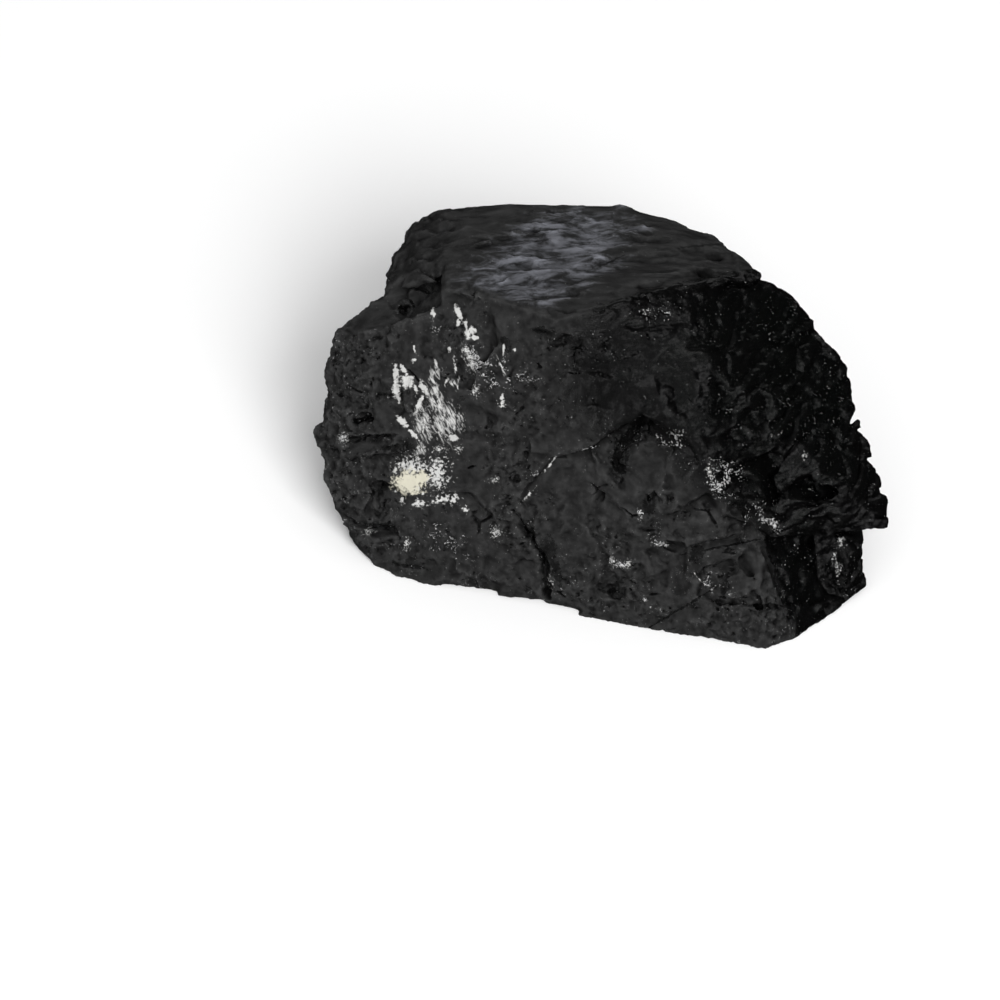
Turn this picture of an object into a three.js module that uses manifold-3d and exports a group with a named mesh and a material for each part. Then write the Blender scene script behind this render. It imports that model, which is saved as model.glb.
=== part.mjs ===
// Black tourmaline (schorl): one broken lump of massive, intergrown crystal, lying on its flat underside.
// Millimetres, +Z up. +X runs along the stone, -Y is the side of the broad leaning front.
// The origin is the centre of the bounding box's underside.
//
// The lump is built as it broke: a few main masses grown into one, then steps and grooves where layers
// parted, then wedges where chips flew off. Small chips are scattered by a seeded sampler.

import * as THREE from "three";
import { ConvexGeometry } from "three/addons/geometries/ConvexGeometry.js";
import { MeshSurfaceSampler } from "three/addons/math/MeshSurfaceSampler.js";
import { mergeVertices } from "three/addons/utils/BufferGeometryUtils.js";
import Module from "manifold-3d";

const wasm = await Module();
wasm.setup();

// ---------------------------------------------------------------- driving sizes
const WELD_TOLERANCE = 1e-4; // vertices nearer than this are one
const OVERCUT = 1.2; // how far a cutter stands proud of the face that it cuts
const CHIP_SIDES = 5;
const CHIP_RIM = [0.7, 1.15]; // nearest and farthest corner of a chip's outline, as shares of its reach
const MOUTH_SPREAD = 1.2; // how much wider a chip is at its top than at its floor
const TAIL_CLEARANCE = 0.4; // share of the bite by which a chip's floor clears the face at the tail
const STEP_END_DEPTH = 0.35; // share of its depth that a step keeps at its ends
const FOOT_BAND = 0.6; // height of the band at the foot that small chips leave alone
const SEAT = [12, 19]; // hollows underneath keep outside the first radius, where it rests, and inside the second
const SEED = 20; // start of the sequence that places the small chips

// Outward directions of the main faces.
const FRONT = [-0.15, -0.83, 0.53];
const FRONT_RIGHT = [0.4, -0.66, 0.64];
const RIGHT = [0.55, -0.5, 0.67];
const LEFT = [-0.55, -0.6, 0.58];
const TOP = [-0.02, 0.2, 0.98];

// ---------------------------------------------------------------- main masses
// Each mass is the convex block round its corners. They grew as one, so they are joined in one solid.
const MASSES = {
  body: [
    // foot, anticlockwise from the left end
    [-38, -13, 0], [-35.4, -16.3, 0], [-32, -18.5, 0], [-26.5, -19.2, 0], [-14.4, -22, 0],
    [0.6, -26.7, 0], [7.6, -28.3, 0], [15.7, -29.5, 0], [26, -32, 0], [30.6, -30, 0],
    [35.8, -25.9, 0], [38.9, -22.9, 0], [41.9, -20.9, 1.2], [39, -6, 0], [31, 6, 0],
    [16, 17, 0], [-6, 21, 0], [-24, 18, 0], [-35, 8, 0], [-39, -4, 0],
    // left end, up to the shoulder
    [-40, -11, 5.5], [-42.9, -7.6, 9.6], [-44.1, -2.6, 13], [-42.3, 2, 18], [-42.4, 7, 23.5],
    [-41.4, 9.1, 27.1], [-37, 8, 30], [-37.8, 11.3, 29.5], [-33, 14, 31], [-29.4, 8.4, 32.3],
    [-24.7, 8.2, 36],
    // ridge and arris of the front
    [-22.9, 8.6, 37.8], [-15.5, 5, 40.5], [-6.7, 0.3, 41.6], [0, 2, 42], [12, 7, 41.5],
    [16.3, -1.8, 36.2], [15, -12.2, 27.5], [22.2, -17.8, 17.4], [25.6, -21, 12.2],
    // right end
    [27, 12.6, 35], [29.4, 11.7, 33.7], [31.4, 10.4, 32.3], [33, 7.2, 29.7], [35.2, 5.3, 27.5],
    [37.7, 5.1, 26], [39.2, 2.5, 22], [40.8, -1.5, 18], [41, -8, 12], [41.2, -15, 8], [41.8, -18.5, 3],
    // back
    [20, 18, 33], [-20, 24, 22], [8, 25.5, 18], [24, 16, 13], [-33, 14, 16],
  ],
  leftTip: [
    [-45.2, -0.7, 14], [-44.7, -2.4, 12.9], [-44.3, 0.1, 15.7], [-42, 3.5, 13], [-40, -2, 17],
    [-38, 2, 14], [-40, -5, 11], [-38, 0, 10],
  ],
  crown: [
    [-33.2, 14, 31], [-33.2, 19.8, 30], [-31.7, 23.4, 31], [-29.6, 26.6, 33], [-26, 28, 34.4],
    [-12.4, 27.3, 36.5], [3.2, 26.8, 37.5], [6.3, 24.5, 37.3], [11.5, 23.6, 37.2], [17.9, 20.9, 36.8],
    [22.4, 16.5, 36.6], [25, 12.2, 37], [24.4, 11.5, 38.8], [12.5, 7.2, 42], [0.1, 1.8, 42.5],
    [-6.7, 0.1, 42], [-15.5, 4.9, 41], [-22.6, 8, 38.8], [-25.4, 12.7, 38], [-21.6, 22.2, 37.8],
    [-27, 12.5, 32], [-28, 16, 20], [-24, 24, 20], [14, 20, 20], [20, 10, 20], [0, 8, 20],
  ],
  slab: [
    [45, -15.4, 9], [45.1, -11.9, 11], [43.4, -8.5, 13], [41.5, -4.9, 15], [40.9, -1.5, 18],
    [24.8, -20.6, 12.6], [23, -18, 17], [30, -9, 24], [26, -8, 10], [40, -4, 9],
  ],
};

// ---------------------------------------------------------------- large forms
// Straight parts of a step or groove: the path lies on the face, the wall above it is steep, and the
// cut runs out over its reach below. Facing is the face's outward direction.
const STEPS = [
  // left end: three overhanging steps, one above the other
  {
    path: [[-39.4, -3.4, 16], [-37, -3.6, 17.3], [-32.4, -4.5, 18.9]],
    facing: LEFT, depth: 1.5, above: 0.15, below: 2.6,
  },
  {
    path: [[-38.8, -6, 14.4], [-33, -6.7, 16.6], [-27, -7.6, 18.4]],
    facing: FRONT, depth: 1.1, above: 0.2, below: 3,
  },
  {
    path: [[-40.5, -11, 6], [-36, -12.6, 6], [-31.5, -13.6, 6.6]],
    facing: LEFT, depth: 1.7, above: 0.2, below: 2.4,
  },
  {
    path: [[-32.4, -16.6, 3.4], [-29, -17.4, 3.6], [-25.5, -18, 3.6]],
    facing: FRONT, depth: 0.9, above: 0.2, below: 1.4,
  },
  // crack that opens down the middle of the front
  {
    path: [[-13.4, -14.6, 13.6], [-11, -17, 10.6], [-8.6, -20.2, 7.2], [-8.6, -24, 0.6]],
    facing: [-0.35, -0.8, 0.48], depth: 2, above: 0.5, below: 0.9,
  },
  // lip of the great shell-shaped scoop in the middle
  {
    path: [[-13, -14.1, 14.9], [-7.5, -11.1, 22], [-1.7, -11.1, 24.3], [4.2, -9.5, 28.9]],
    facing: FRONT, depth: 0.9, above: 0.1, below: 6,
  },
  // notch in the lower right of the front
  {
    path: [[11.5, -22.3, 12.2], [15.4, -21.2, 13.6], [22, -20.2, 14.2]],
    facing: FRONT, depth: 1.3, above: 0.3, below: 1.4,
  },
  // edges of the triangular plate at the lower right of the front: right, left and a crack across it
  {
    path: [[24.4, -20.3, 13.6], [22.7, -18.9, 16], [21.2, -17.6, 18.2]],
    facing: FRONT_RIGHT, depth: 1.2, above: 0.1, below: 2.4,
  },
  {
    path: [[17.6, -19.9, 16.4], [19.4, -19, 17.3], [21.4, -17.8, 18]],
    facing: FRONT, depth: 0.8, above: 0.2, below: 0.3,
  },
  {
    path: [[17.4, -22, 13.2], [20.6, -21.6, 13.4], [23.6, -20.8, 13.6]],
    facing: FRONT, depth: 0.9, above: 0.1, below: 0.4,
  },
  // steps in the top
  { path: [[12, 16.2, 39.6], [20.4, 17.2, 37.6]], facing: TOP, depth: 0.9, above: 0.1, below: 4.5 },
  {
    path: [[3, 6, 42.1], [13, 10, 41], [24, 12.6, 38.6]],
    facing: TOP, depth: 0.6, above: 0.1, below: 3,
  },
  { path: [[-4, 11.5, 41], [4, 14.5, 40.2]], facing: TOP, depth: 0.8, above: 0.2, below: 3 },
  // notch in the crown's left end
  {
    path: [[-25.6, 9, 36.4], [-24.6, 13.2, 38.2]],
    facing: [-0.5, -0.3, 0.8], depth: 0.8, above: 0.5, below: 1.2,
  },
];

// Recesses with a flat floor. Each corner of the mouth is a point on the face and the depth of the floor
// under it. Lean is how far the wall runs in for each millimetre of depth.
const RECESSES = [
  // under the slab at the right end
  {
    mouth: [
      [24.3, -20.3, 13.8, 0.5], [30.5, -18.5, 12.2, 3], [37.3, -17.1, 10.4, 3.6], [46, -15.2, 8.9, 3.6],
      [45, -18.6, 3, 3.6], [42.6, -20.4, 1.9, 2.4], [39.2, -22.5, 1.7, 1], [33.6, -25.4, 2.7, 0.8],
      [28.7, -26.7, 4.4, 0.6],
      [27.3, -23.8, 8.2, 1.4], [25.5, -22.2, 10.9, 1.2],
    ],
    facing: FRONT_RIGHT, lean: 0.15,
  },
  // hollow in the middle of the front, under a cliff at its upper left
  {
    mouth: [
      [1.9, -13.8, 21.3, 1.8], [1.4, -12.3, 23.8, 2.8], [2.1, -11.1, 26, 3.2], [4.2, -9.9, 28.7, 3.2],
      [6, -9.1, 30.1, 2.4], [7.7, -9.3, 30, 1.2], [13.5, -12, 27.2, 0.3], [14.8, -13.8, 24.4, 0.2],
      [12, -16.2, 20.5, 0.2], [6.8, -15.9, 20.1, 0.6],
    ],
    facing: [-0.05, -0.83, 0.55], lean: 0.9,
  },
];

// Ledge behind the front's upper left edge: everything over this floor is broken away.
const SHOULDER_CUT = [
  [-42.5, 8.8, 27.4], [-37, 7.4, 29.8], [-29.4, 7.9, 32.1], [-24.6, 7.4, 36.4],
  [-38.5, 11.8, 29.6], [-34.4, 14, 31.2], [-27.5, 12.8, 32.6], [-24.9, 11.6, 35],
  [-44, 2, 34], [-26, 4, 42], [-44, 12, 38], [-35, 14.2, 42], [-25.4, 11.8, 42],
];

// Chips: a steep wall at the head and a flat floor that rises from it to the face at the tail. Reach is half
// the length from tail to head and half the width. At a turn of 0 the head points up the face.
const CHIPS = [
  // in and round the hollow in the middle of the front
  { at: [5.2, -11.8, 24.8], facing: FRONT, reach: [2.2, 1.8], bite: 2.6, turn: 20 },
  { at: [10.6, -12.6, 25.6], facing: [0.1, -0.8, 0.6], reach: [3, 4], bite: 1.1, turn: 20 },
  { at: [8.3, -16.7, 18.7], facing: FRONT, reach: [1.8, 1.5], bite: 1.7, turn: 20 },
  { at: [4.6, -14.9, 20.6], facing: FRONT, reach: [1.6, 2.4], bite: 1.1, turn: 70 },
  // broad shell-shaped chip below the lip
  { at: [-3, -16.8, 15], facing: [-0.12, -0.86, 0.48], reach: [9, 8], bite: 1.5, turn: 40 },
  { at: [-9, -13, 19], facing: FRONT, reach: [6, 5], bite: 1.1, turn: 60 },
  { at: [3, -21, 11.5], facing: [-0.05, -0.86, 0.5], reach: [6.5, 6], bite: 1.1, turn: 20 },
  // smooth planes at the lower right of the front
  { at: [14.5, -19.6, 16.2], facing: [0.05, -0.8, 0.6], reach: [4, 5.6], bite: 1.3, turn: 25 },
  { at: [21.5, -20, 14.4], facing: [0.25, -0.78, 0.55], reach: [3, 4.6], bite: 0.9, turn: -35 },
  { at: [20, -24.4, 7.6], facing: [0.05, -0.85, 0.52], reach: [6, 5.5], bite: 1.2, turn: 10 },
  { at: [10, -24.5, 7], facing: [-0.12, -0.85, 0.5], reach: [4.5, 5], bite: 1, turn: -30 },
  // hollow in the foot of the front
  { at: [-15, -22.3, 1], facing: [-0.12, -0.98, 0.15], reach: [2.6, 9], bite: 0.5, turn: 180 },
  // upper left of the front
  { at: [-10, -3, 34], facing: FRONT, reach: [7, 8], bite: 0.4, turn: 30 },
  { at: [-20, 1, 33], facing: FRONT, reach: [6, 6.5], bite: 0.4, turn: -20 },
  { at: [-23, -7, 23], facing: FRONT, reach: [6, 7], bite: 0.6, turn: 15 },
  { at: [-33, 2, 28], facing: [-0.4, -0.75, 0.55], reach: [5, 5], bite: 1, turn: -15 },
  { at: [-22, -14.5, 11], facing: FRONT, reach: [5, 7], bite: 0.8, turn: 10 },
  { at: [-33, -11.5, 9], facing: LEFT, reach: [5, 5], bite: 1.2, turn: -20 },
  // right face
  { at: [22, 1, 35], facing: [0.45, -0.5, 0.75], reach: [3.4, 8], bite: 0.8, turn: 10 },
  { at: [27, -5, 27], facing: RIGHT, reach: [3.6, 8], bite: 0.9, turn: 6 },
  { at: [34, -4, 22], facing: RIGHT, reach: [3, 7], bite: 0.9, turn: -5 },
  { at: [24, -13, 20.5], facing: RIGHT, reach: [3, 6], bite: 0.8, turn: 8 },
  { at: [34, -12, 16], facing: [0.5, -0.6, 0.62], reach: [2.6, 7], bite: 0.8, turn: 0 },
  { at: [31, 5, 30], facing: [0.6, -0.35, 0.7], reach: [3, 5], bite: 0.6, turn: 0 },
  { at: [33.4, 6.6, 29.2], facing: [0.75, 0.3, 0.6], reach: [1.8, 3], bite: 0.8, turn: 0 },
  { at: [41, -3, 17], facing: [0.85, -0.2, 0.45], reach: [1.2, 4], bite: 1.3, turn: 0 },
  { at: [42.2, -6.4, 14.4], facing: [0.85, -0.2, 0.45], reach: [1, 3.4], bite: 1, turn: 0 },
  { at: [43.8, -10.5, 12], facing: [0.85, -0.2, 0.45], reach: [1, 3], bite: 0.8, turn: 5 },
  // top
  { at: [-14, 17, 39], facing: TOP, reach: [4, 11], bite: 0.9, turn: 6 },
  { at: [2, 20, 39], facing: TOP, reach: [3.4, 9], bite: 0.8, turn: -172 },
  { at: [8, 12, 40.4], facing: TOP, reach: [3, 10], bite: 0.8, turn: 5 },
  { at: [-8, 8, 41], facing: TOP, reach: [3, 8], bite: 0.6, turn: 170 },
  // crown's left end
  { at: [-28.8, 19, 35], facing: [-0.72, -0.1, 0.68], reach: [3.6, 4], bite: 1, turn: 20 },
  { at: [-25.5, 14, 37], facing: [-0.7, -0.3, 0.65], reach: [2.6, 3], bite: 0.6, turn: -60 },
  // nick in the corner of the shoulder
  { at: [-40, 10.4, 28.7], facing: [-0.6, 0.3, 0.75], reach: [2, 2.6], bite: 0.7, turn: 0 },
  // back and ends
  { at: [38.5, -3, 12], facing: [0.85, 0.5, 0.05], reach: [4, 6], bite: 0.8, turn: 190 },
  { at: [27, 11.5, 27], facing: [0.75, 0.6, 0.3], reach: [4.5, 5], bite: 1.5, turn: 30 },
  { at: [31, 6, 20], facing: [0.75, 0.65, 0.05], reach: [5, 5], bite: 1.6, turn: 80 },
  { at: [-10, 25, 22], facing: [-0.1, 0.97, 0.2], reach: [8, 13], bite: 3, turn: 170 },
  { at: [12, 22, 24], facing: [0.35, 0.9, 0.3], reach: [8, 9], bite: 2.6, turn: 150 },
  { at: [-28, 17, 15], facing: [-0.6, 0.78, 0.1], reach: [8, 8], bite: 2.4, turn: -160 },
  { at: [-2, 23.5, 10], facing: [0, 0.98, -0.1], reach: [6, 12], bite: 2.2, turn: 5 },
  { at: [36, 0, 10], facing: [0.85, 0.5, -0.1], reach: [6, 9], bite: 2, turn: 15 },
  { at: [24, 13, 20], facing: [0.7, 0.7, 0.1], reach: [7, 8], bite: 2, turn: 180 },
  { at: [-39, 1, 6], facing: [-0.93, 0.1, -0.3], reach: [4, 7], bite: 1.8, turn: 0 },
  // foot, where the front steps back on both sides of the crack
  { at: [-20.4, -20.7, 1.2], facing: [-0.15, -0.92, 0.35], reach: [3, 5.5], bite: 1, turn: 180 },
  { at: [-6, -24.6, 1.4], facing: [-0.25, -0.9, 0.35], reach: [3, 3.4], bite: 1.6, turn: 180 },
];

// Flakes and knobs that stand proud, as convex blocks sunk in the face.
const FLAKES = [
  // sliver on the top
  [
    [-21.6, 17.2, 38.4], [-17, 18.4, 39.2], [-16.6, 17.8, 39.1], [-20.8, 16.6, 38.6], [-19, 17, 39.5],
    [-21, 17.4, 37], [-17, 18, 37],
  ],
  // fluted column under the slab: a broad flute, and a rib that stands before its right half
  [
    [33.2, -17.4, 10.6], [36.6, -16.4, 10.2], [37.8, -21.6, 2.4], [36.2, -22.6, 2.2], [33.9, -22.2, 4.4],
    [36, -14.5, 9], [38, -17, 1.6], [34.4, -17, 6],
  ],
  [
    [37, -17.4, 9.8], [40.6, -16.4, 8.6], [41.1, -18.4, 5], [41.9, -20.2, 2.2], [41.9, -20.8, 0.9],
    [39.9, -22.6, 0.9], [37.8, -23, 1.7], [38.6, -20.6, 6.2], [36.4, -18.4, 4], [39, -15, 8],
    [40, -17, 0.8], [38, -20, 0.4],
  ],
];

// ---------------------------------------------------------------- small chips
// Scattered over the faces that the test lets through. Reach is [least, most] from tail to head and wide.
const CHIP_FAMILIES = [
  // plates
  { count: 16, reach: [3, 6], width: [3, 6.5], bite: [0.3, 0.8], tilt: 8, turn: 0, swing: 180,
    where: () => true },
  // flakes on the top
  { count: 26, reach: [0.9, 2.2], width: [3, 8], bite: [0.3, 0.8], tilt: 5, turn: 0,
    swing: 12, flip: true, where: (p, n) => n.z > 0.86 && p.z > 33 },
  // layers at the right
  { count: 30, reach: [0.8, 2], width: [3, 8], bite: [0.3, 0.7], tilt: 8,
    turn: 0, swing: 14, where: (p, n) => n.x > 0.25 && n.y < 0.2 && p.z > 13 },
  // hackle at the left
  { count: 19, reach: [1.2, 2.8], width: [1.2, 3], bite: [0.3, 0.8], tilt: 14,
    turn: 0, swing: 60, where: (p, n) => n.x < -0.3 && n.y < 0.6 },
  // hackle on the front
  { count: 30, reach: [1.2, 3.6], width: [1, 3.4], bite: [0.25, 0.6], tilt: 9,
    turn: 0, swing: 90, where: (p, n) => n.y < -0.4 },
  // splinters at the back
  { count: 17, reach: [1.6, 3.4], width: [2.5, 6], bite: [0.6, 1.5], tilt: 14,
    turn: 180, swing: 40, where: (p, n) => n.y > 0.3 && n.z < 0.8 },
  // nibbles round the foot
  { count: 10, reach: [1, 2], width: [1.5, 3.5], bite: [0.4, 0.8], tilt: 14,
    turn: 180, swing: 60, where: (p, n) => p.z < 4 && n.z > -0.6 },
  // hollows underneath
  { count: 5, reach: [3, 5], width: [4, 7], bite: [0.4, 0.8], tilt: 2, turn: 0,
    swing: 180, where: (p, n) => isUnderside(n) && isBetween(Math.hypot(p.x, p.y), SEAT) },
];

// ---------------------------------------------------------------- solids
const vector = (xyz) => new THREE.Vector3(...xyz);

function solidOf(geometry) {
  const bare = geometry.clone();
  bare.deleteAttribute("normal");
  bare.deleteAttribute("uv");
  const welded = mergeVertices(bare, WELD_TOLERANCE);
  return new wasm.Manifold(
    new wasm.Mesh({
      numProp: 3,
      vertProperties: welded.attributes.position.array,
      triVerts: new Uint32Array(welded.index.array),
    }),
  );
}

function geometryOf(solid) {
  const mesh = solid.getMesh();
  const geometry = new THREE.BufferGeometry();
  geometry.setAttribute("position", new THREE.BufferAttribute(mesh.vertProperties, 3));
  geometry.setIndex(new THREE.BufferAttribute(mesh.triVerts, 1));
  return geometry;
}

const block = (corners) => solidOf(new ConvexGeometry(corners));

THREE.MathUtils.seededRandom(SEED);
const random = () => THREE.MathUtils.seededRandom();
const between = ([low, high]) => THREE.MathUtils.lerp(low, high, random());
const isUnderside = (normal) => normal.z < -0.95;
const isBetween = (value, [low, high]) => value > low && value < high;

// Axes of a chip: out of the face, head up the face turned by some degrees, side across.
function chipAxes(facing, turn) {
  const out = facing.clone().normalize();
  const level = new THREE.Vector3(1, 0, 0).projectOnPlane(out).normalize();
  const head = out.clone().cross(level).applyAxisAngle(out, THREE.MathUtils.degToRad(turn));
  return { head, side: head.clone().cross(out), out };
}

// A convex, uneven wedge. Its floor is a plane, bite deep at the head and just clear of the face at the tail.
function chip({ at, facing, reach, bite, turn, spread = MOUTH_SPREAD }) {
  const { head, side, out } = chipAxes(facing, turn);
  const corners = [];
  for (let i = 0; i < CHIP_SIDES; i += 1) {
    const angle = ((i + between([0, 0.7])) * 2 * Math.PI) / CHIP_SIDES;
    const size = between(CHIP_RIM);
    const forward = size * Math.cos(angle);
    const sideways = size * Math.sin(angle);
    const floor = bite * THREE.MathUtils.lerp(TAIL_CLEARANCE, -1, (forward + 1) / 2);
    const point = (wider, height) =>
      at
        .clone()
        .addScaledVector(head, wider * forward * reach[0])
        .addScaledVector(side, wider * sideways * reach[1])
        .addScaledVector(out, height);
    corners.push(point(1, floor), point(spread, OVERCUT));
  }
  return block(corners);
}

// The block between a mouth on the face and the floor under it.
function recess({ mouth, facing, lean }) {
  const out = vector(facing).normalize();
  const rims = mouth.map(([x, y, z]) => new THREE.Vector3(x, y, z));
  const centre = rims.reduce((sum, rim) => sum.add(rim), new THREE.Vector3()).divideScalar(rims.length);
  const corners = rims.flatMap((rim, i) => {
    const slope = centre.clone().sub(rim).normalize().multiplyScalar(lean).sub(out);
    return [rim.clone().addScaledVector(slope, -OVERCUT), rim.clone().addScaledVector(slope, mouth[i][3])];
  });
  return block(corners);
}

// One solid for each straight stretch of a step. It is deepest in the middle of its path.
function stepPieces({ path, facing, depth, above, below }) {
  const out = vector(facing).normalize();
  const points = path.map(vector);
  const widen = (depth + OVERCUT) / depth;
  const section = (point, i, direction) => {
    const share = THREE.MathUtils.lerp(STEP_END_DEPTH, 1, Math.sin((Math.PI * (i + 0.5)) / points.length));
    const up = out.clone().cross(direction).normalize();
    const rim = point.clone().addScaledVector(out, OVERCUT * share);
    return [
      rim.clone().addScaledVector(up, above * widen * share),
      rim.clone().addScaledVector(up, -below * widen * share),
      point.clone().addScaledVector(out, -depth * share),
    ];
  };
  return points.slice(1).map((end, i) => {
    const direction = end.clone().sub(points[i]).normalize();
    return block([...section(points[i], i, direction), ...section(end, i + 1, direction)]);
  });
}

// Cuts chips at random places on the faces that where lets through.
function chipAway(stone, { count, reach, width, bite, tilt, turn, swing, flip, where }) {
  const surface = geometryOf(stone).toNonIndexed();
  surface.computeVertexNormals();
  const sampler = new MeshSurfaceSampler(new THREE.Mesh(surface)).setRandomGenerator(random).build();
  const at = new THREE.Vector3();
  const normal = new THREE.Vector3();
  const lean = Math.tan(THREE.MathUtils.degToRad(tilt));
  let left = stone;
  let made = 0;
  while (made < count) {
    sampler.sample(at, normal);
    const atFoot = at.z < FOOT_BAND && !isUnderside(normal);
    if (atFoot || !where(at, normal)) continue;
    const sideways = new THREE.Vector3(random() - 0.5, random() - 0.5, random() - 0.5);
    const cutter = chip({
      at: at.clone(),
      facing: normal.clone().addScaledVector(sideways, 2 * lean),
      reach: [between(reach), between(width)],
      bite: between(bite),
      turn: turn + swing * (2 * random() - 1) + (flip && random() < 0.5 ? 180 : 0),
    });
    left = left.subtract(cutter);
    made += 1;
  }
  return left;
}

// The largest connected piece of a geometry: splinters that a cut set free fall away.
function largestPiece(geometry) {
  const index = geometry.index.array;
  const parent = Array.from({ length: geometry.attributes.position.count }, (_, i) => i);
  const root = (i) => {
    let r = i;
    while (parent[r] !== r) r = parent[r];
    while (parent[i] !== r) [parent[i], i] = [r, parent[i]];
    return r;
  };
  for (let i = 0; i < index.length; i += 3) {
    parent[root(index[i])] = root(index[i + 1]);
    parent[root(index[i + 1])] = root(index[i + 2]);
  }
  const sizes = new Map();
  for (const i of index) sizes.set(root(i), (sizes.get(root(i)) ?? 0) + 1);
  const largest = [...sizes].reduce((a, b) => (b[1] > a[1] ? b : a))[0];
  const piece = geometry.clone();
  piece.setIndex(Array.from(index).filter((i) => root(i) === largest));
  return mergeVertices(piece.toNonIndexed(), WELD_TOLERANCE);
}

// ---------------------------------------------------------------- the lump
let stone = Object.values(MASSES).map((corners) => block(corners.map(vector))).reduce((a, b) => a.add(b));
stone = stone.subtract(block(SHOULDER_CUT.map(vector)));
for (const form of RECESSES) {
  stone = stone.subtract(recess(form));
}
for (const piece of STEPS.flatMap(stepPieces)) {
  stone = stone.subtract(piece);
}
for (const form of CHIPS) {
  stone = stone.subtract(chip({ ...form, at: vector(form.at), facing: vector(form.facing) }));
}
for (const corners of FLAKES) {
  stone = stone.add(block(corners.map(vector)));
}
for (const family of CHIP_FAMILIES) {
  stone = chipAway(stone, family);
}

const shape = largestPiece(geometryOf(stone));
shape.computeBoundingBox();
const centre = shape.boundingBox.getCenter(new THREE.Vector3());
shape.translate(-centre.x, -centre.y, -shape.boundingBox.min.z);

const material = new THREE.MeshStandardMaterial({ color: "#1c1c1e", roughness: 0.4, metalness: 0 });
const tourmaline = new THREE.Mesh(shape, material);
tourmaline.name = "tourmaline_lump";

const part = new THREE.Group();
part.add(tourmaline);

export default part;
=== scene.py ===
"""A rough lump of black tourmaline on a pale studio floor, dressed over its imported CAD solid."""

import math

import bpy
import numpy as np
from bpy.props import FloatProperty, FloatVectorProperty, IntProperty, PointerProperty
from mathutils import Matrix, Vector


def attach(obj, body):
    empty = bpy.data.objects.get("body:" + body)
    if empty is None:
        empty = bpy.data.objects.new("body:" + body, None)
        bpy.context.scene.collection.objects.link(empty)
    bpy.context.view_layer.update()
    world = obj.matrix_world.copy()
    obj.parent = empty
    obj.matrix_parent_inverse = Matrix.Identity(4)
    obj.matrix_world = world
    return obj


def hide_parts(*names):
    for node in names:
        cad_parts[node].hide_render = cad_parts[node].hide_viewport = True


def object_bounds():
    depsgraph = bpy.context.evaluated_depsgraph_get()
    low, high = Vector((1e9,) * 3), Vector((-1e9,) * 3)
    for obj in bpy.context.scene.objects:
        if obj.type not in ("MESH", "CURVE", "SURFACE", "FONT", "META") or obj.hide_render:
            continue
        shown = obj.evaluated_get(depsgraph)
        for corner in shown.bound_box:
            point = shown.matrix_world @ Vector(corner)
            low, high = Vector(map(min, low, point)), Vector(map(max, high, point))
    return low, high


bl_info = {
    "name": "Black tourmaline lump",
    "version": (1, 0, 0),
    "blender": (4, 5, 0),
    "location": "3D View > Sidebar > Tourmaline",
    "description": "Breaks the surface of a tourmaline lump, gives it its minerals and sets it in a studio",
    "category": "Object",
}

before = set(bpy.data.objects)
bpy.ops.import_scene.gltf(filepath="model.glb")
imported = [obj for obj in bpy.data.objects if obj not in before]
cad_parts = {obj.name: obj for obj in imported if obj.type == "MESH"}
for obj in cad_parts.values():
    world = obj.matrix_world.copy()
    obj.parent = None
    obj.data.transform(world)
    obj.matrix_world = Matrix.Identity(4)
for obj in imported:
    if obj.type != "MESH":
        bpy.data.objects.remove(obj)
CAD_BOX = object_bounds()

MM = 0.001
LUMP = "tourmaline_lump"
WELD_REACH = 0.001 * MM
SHARP_ANGLE = math.radians(26)

# The camera looks down at 55 degrees, square to the front.
CAMERA_PLACE = (-15.45 * MM, -356.05 * MM, 506.18 * MM)
CAMERA_PITCH = math.radians(35)
CAMERA_LENS = 139.35
CAMERA_SENSOR = 36.0

# Lights: place and aim in metres, width and height, the setting that gives the power, this light's share of
# it, and what the light serves.
LIGHTS = {
    "key_softbox": ((0.48, -0.86, 1.02), (0, 0, 0), 0.8, 0.8, "key", 1.0, "matt"),
    "back_wall": ((0.0, 1.0, 0.62), (0, 0, 0.03), 1.4, 0.5, "wall", 1.0, "gloss"),
    "glint_left": ((-0.75, -0.1, 0.5), (0, 0, 0.02), 0.3, 0.3, "glint", 1.0, "gloss"),
    "glint_above": ((0.2, -0.35, 0.9), (0, 0, 0.02), 0.3, 0.3, "glint", 1.0, "gloss"),
    "glint_right": ((0.5, -0.75, 0.3), (0, 0, 0.02), 0.3, 0.3, "glint", 1.0, "gloss"),
    "glint_low": ((-0.55, -0.75, 0.12), (0, 0, 0.02), 0.3, 0.15, "glint", 0.5, "gloss"),
}


# ------------------------------------------------------------------ colours and nodes
def linear(hex_colour):
    """An sRGB hex colour as linear RGBA."""
    parts = [int(hex_colour[i : i + 2], 16) / 255 for i in (1, 3, 5)]
    return tuple(p / 12.92 if p <= 0.04045 else ((p + 0.055) / 1.055) ** 2.4 for p in parts) + (1.0,)


def add(tree, kind, inputs=None, **settings):
    """Adds a node with its settings. An input is a value, a socket to link from, or a node's first output."""
    node = tree.nodes.new(kind)
    for name, value in settings.items():
        setattr(node, name, value)
    for socket, value in (inputs or {}).items():
        if isinstance(value, bpy.types.Node):
            value = value.outputs[0]
        if isinstance(value, bpy.types.NodeSocket):
            tree.links.new(value, node.inputs[socket])
        else:
            node.inputs[socket].default_value = value
    return node


# ------------------------------------------------------------------ settings
def colour_property(name, description, hex_colour):
    """A colour that a user may change."""
    return FloatVectorProperty(
        name=name, description=description, subtype="COLOR", size=4, default=linear(hex_colour)
    )


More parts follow.
